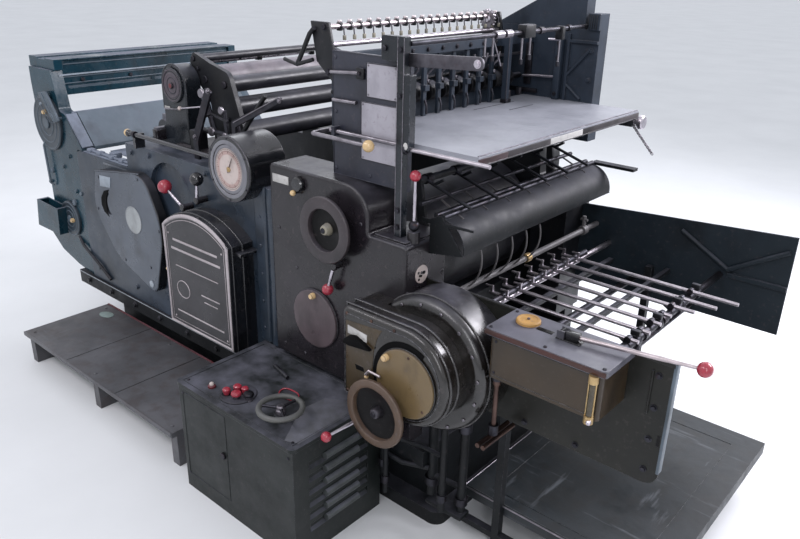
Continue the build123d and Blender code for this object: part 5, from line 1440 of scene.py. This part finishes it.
def add_panel_trim():
    """Edges, a slot and a seam of the panel on the operator's side, and fittings of the hoist."""
    p = Piece()
    p.brick("strap", (1687, 1694.5), (-452.5, -430), (540, 853))
    p.brick("panel", (940, 1690), (-453.6, -451.5), (843, 852), 0.8)
    slot = [(1676, 650), (1684, 650), (1684, 618), (1676, 618)]
    p.plate("dish", slot, PANEL_FACE - 0.6, 0.8, 0)
    p.tube("panel", [(1640, -454, 820), (1640, -454, 700)], 3, 8)
    p.make("near_panel_edge")

    p = Piece()
    for z in (520, 690):
        p.cap("iron", 14, 30, (1272, -560, z), UP, 24)
    p.lathe("iron", [(9, 0), (9, 10), (0, 12)], (1235, -490, 690), NEAR, 20)
    p.tube("iron", [(1250, -500, 690), (1272, -560, 650)], 6)
    p.make("hoist_fittings")


def add_board_trim():
    """Worn bright edges of the pile board, and the lines on the step board."""
    p = Piece()
    p.tube("rail", level([(1101, -430), (1744, -430)], PILE_TOP), 2.4, 8)
    p.across("rail", (1102, PILE_TOP), (-430, 430), 2.4, 8)
    p.tube("pile", level(corners((1180, 1660), (-380, 380)), PILE_TOP + 1), 1.4, 8, closed=True)
    p.make("pile_board_edges", "pile_board")

    p = Piece()
    p.brick("red_paint", (-998, 148), (-482, -474), (STEP_TOP - 1, STEP_TOP + 3))
    p.brick("step", (-998, 148), (-884, -878), (135, STEP_TOP + 2))
    p.add("mint", at(prism(oval(39.6, 26, 32), 1.6, 0.4), (-894, -545, STEP_TOP), UP, 10))
    for x in (-620, -240):
        p.brick("dish", (x - 1.5, x + 1.5), (-878, -484), (STEP_TOP - 0.4, STEP_TOP + 0.4), 0)
    p.make("step_board_trim")

    p = Piece()
    p.tube("white_line", [(-1140, -520.5, 296), (900, -520.5, 296)], 2, 8)
    p.make("flange_line")


def add_cabinet_trim():
    """Red ring, knobs, light, door line and a dusty plate on the control cabinet."""
    wire = []
    for i in range(32):
        turn = math.pi * i / 16
        wire.append((592 + 38 * math.cos(turn), -707 + 25 * math.sin(turn), 423 + 2 * math.sin(3 * turn)))
    p = Piece()
    p.tube("red", wire, 2.4, 10, closed=True)
    for x, y, r in ((448, -842, 13), (458, -806, 14), (486, -798, 12)):
        p.button("iron", r * 1.4, 5, 2, (x, y, CABINET_TOP))
        knob = [(0, 0), (r * 0.7, 0), (r, 12), (r, 18), (r * 0.7, 22), (0, 23)]
        p.lathe("red", knob, (x, y, CABINET_TOP + 4), UP, 24)
    p.button("red_paint", 13, 9, 3, (373, -845, CABINET_TOP))
    p.ball("cream", 8, (373, -845, 431), 20)
    p.button("dark", 60, 5, 2, (472, -815, CABINET_TOP - 0.4))
    p.make("cabinet_knobs")

    p = Piece()
    p.tube("cabinet", level(corners((268, 806), (-882, -540)), CABINET_TOP), 2, 8, closed=True)
    patch = [(682, -741), (690, -640), (760, -600), (812, -640), (812, -862), (770, -880)]
    low = Matrix.Translation((0, 0, CABINET_TOP - 0.4))
    p.add("cabinet_patch", moved(prism(patch, 1.4, 0.4), low))
    # Louvre hoods, lighter than the cabinet as dust and a painted highlight.
    for z in range(104, 335, 46):
        p.across("louvre", (821, z), (-770, -628), 12, 16)
    p.bead("cabinet", corners((275, 500), (60, 385)), CABINET_FACE, 1.6, 8)
    p.button("iron", 12, 8, 2, (480, CABINET_FACE, 230), NEAR)
    p.tube("dark", [(420, -620, 424), (470, -640, 436), (520, -650, 430)], 7)
    p.make("cabinet_trim")


def add_lower_pipes():
    """Dark pipes, valves and brackets under the gear housing."""
    pipes = ((850, -535, 150, 440, 12), (880, -560, 110, 430, 9), (1010, -480, 130, 460, 16),
             (1080, -520, 120, 500, 11), (1120, -470, 100, 470, 14))
    p = Piece()
    for x, y, low, high, radius in pipes:
        p.tube("low", [(x, y, low), (x, y, high)], radius, 14)
        for z in (low + 40, high - 60):
            p.tube("iron", [(x, y, z), (x, y, z + 26)], radius * 1.5, 14)
    p.tube("low", [(850, -535, 240), (930, -535, 236), (1010, -500, 236)], 8)
    p.tube("low", [(880, -560, 330), (990, -520, 322), (1080, -520, 322)], 7)
    p.tube("low", [(1010, -480, 200), (1120, -470, 200)], 9)
    p.brick("low", (1000, 1140), (-500, -450), (96, 112), 4)
    p.make("lower_pipes")


# Stage and closing steps


def make_stage():
    floor = bpy.data.meshes.new("floor")
    reach = (-60, 60)
    floor.from_pydata(level(corners(reach, reach), 0), [], [(0, 1, 2, 3)])
    made = bpy.data.objects.new("floor", floor)
    scene.collection.objects.link(made)
    f = Finish("pale_floor")
    colour = f.mix(f.spread(f.noise(1.2, 6), 0.3, 0.7), (0.78, 0.79, 0.80, 1), (0.72, 0.73, 0.74, 1))
    f.give("Base Color", colour)
    f.give("Roughness", 0.8)
    floor.materials.append(f.material)


def dress_nodes():
    """Give each CAD node that stays visible its finish."""
    for finish, names in NODE_FINISH.items():
        for name in names:
            node = nodes[name]
            node.data.materials.clear()
            node.data.materials.append(finishes[finish])


make_camera()
make_world()
lamp("key_light", (-0.6, -3.6, 4.6), (0.3, -0.2, 0.7), (4.5, 0.5), 90, (1.0, 0.96, 1.0))
lamp("front_light", (3.8, -3.4, 3.0), (0.4, -0.4, 0.7), (0.4, 3.0), 45, (0.96, 0.96, 1.0))
lamp("shoulder_light", (2.75, 2.6, 3.0), (1.0, -0.4, 0.8), (2.4, 1.4), 190, (0.95, 0.93, 1.0))
lamp("sky_light", (-1.6, 3.2, 3.6), (0.2, 0, 0.9), (4.5, 1.2), 48, (0.92, 0.95, 1.0))
make_stage()
dress_nodes()
add_wheels_and_levers()
add_stick_levers()
add_stop_buttons()
add_dial()
add_name_cover_trim()
add_teardrop_trim()
add_disc_trim()
add_housing_trim()
add_gear_cover_trim()
add_feeder_rails()
add_front_rail_fittings()
add_feed_roll_bits()
add_table_trim()
add_side_plate_trim()
add_tower_trim()
add_arch_trim()
add_ledge_fittings()
add_link_and_motor_trim()
add_roller_trim()
add_ink_end_trim()
add_guard_trim()
add_delivery_trim()
add_box_trim()
add_panel_trim()
add_board_trim()
add_cabinet_trim()
add_lower_pipes()
add_fasteners()
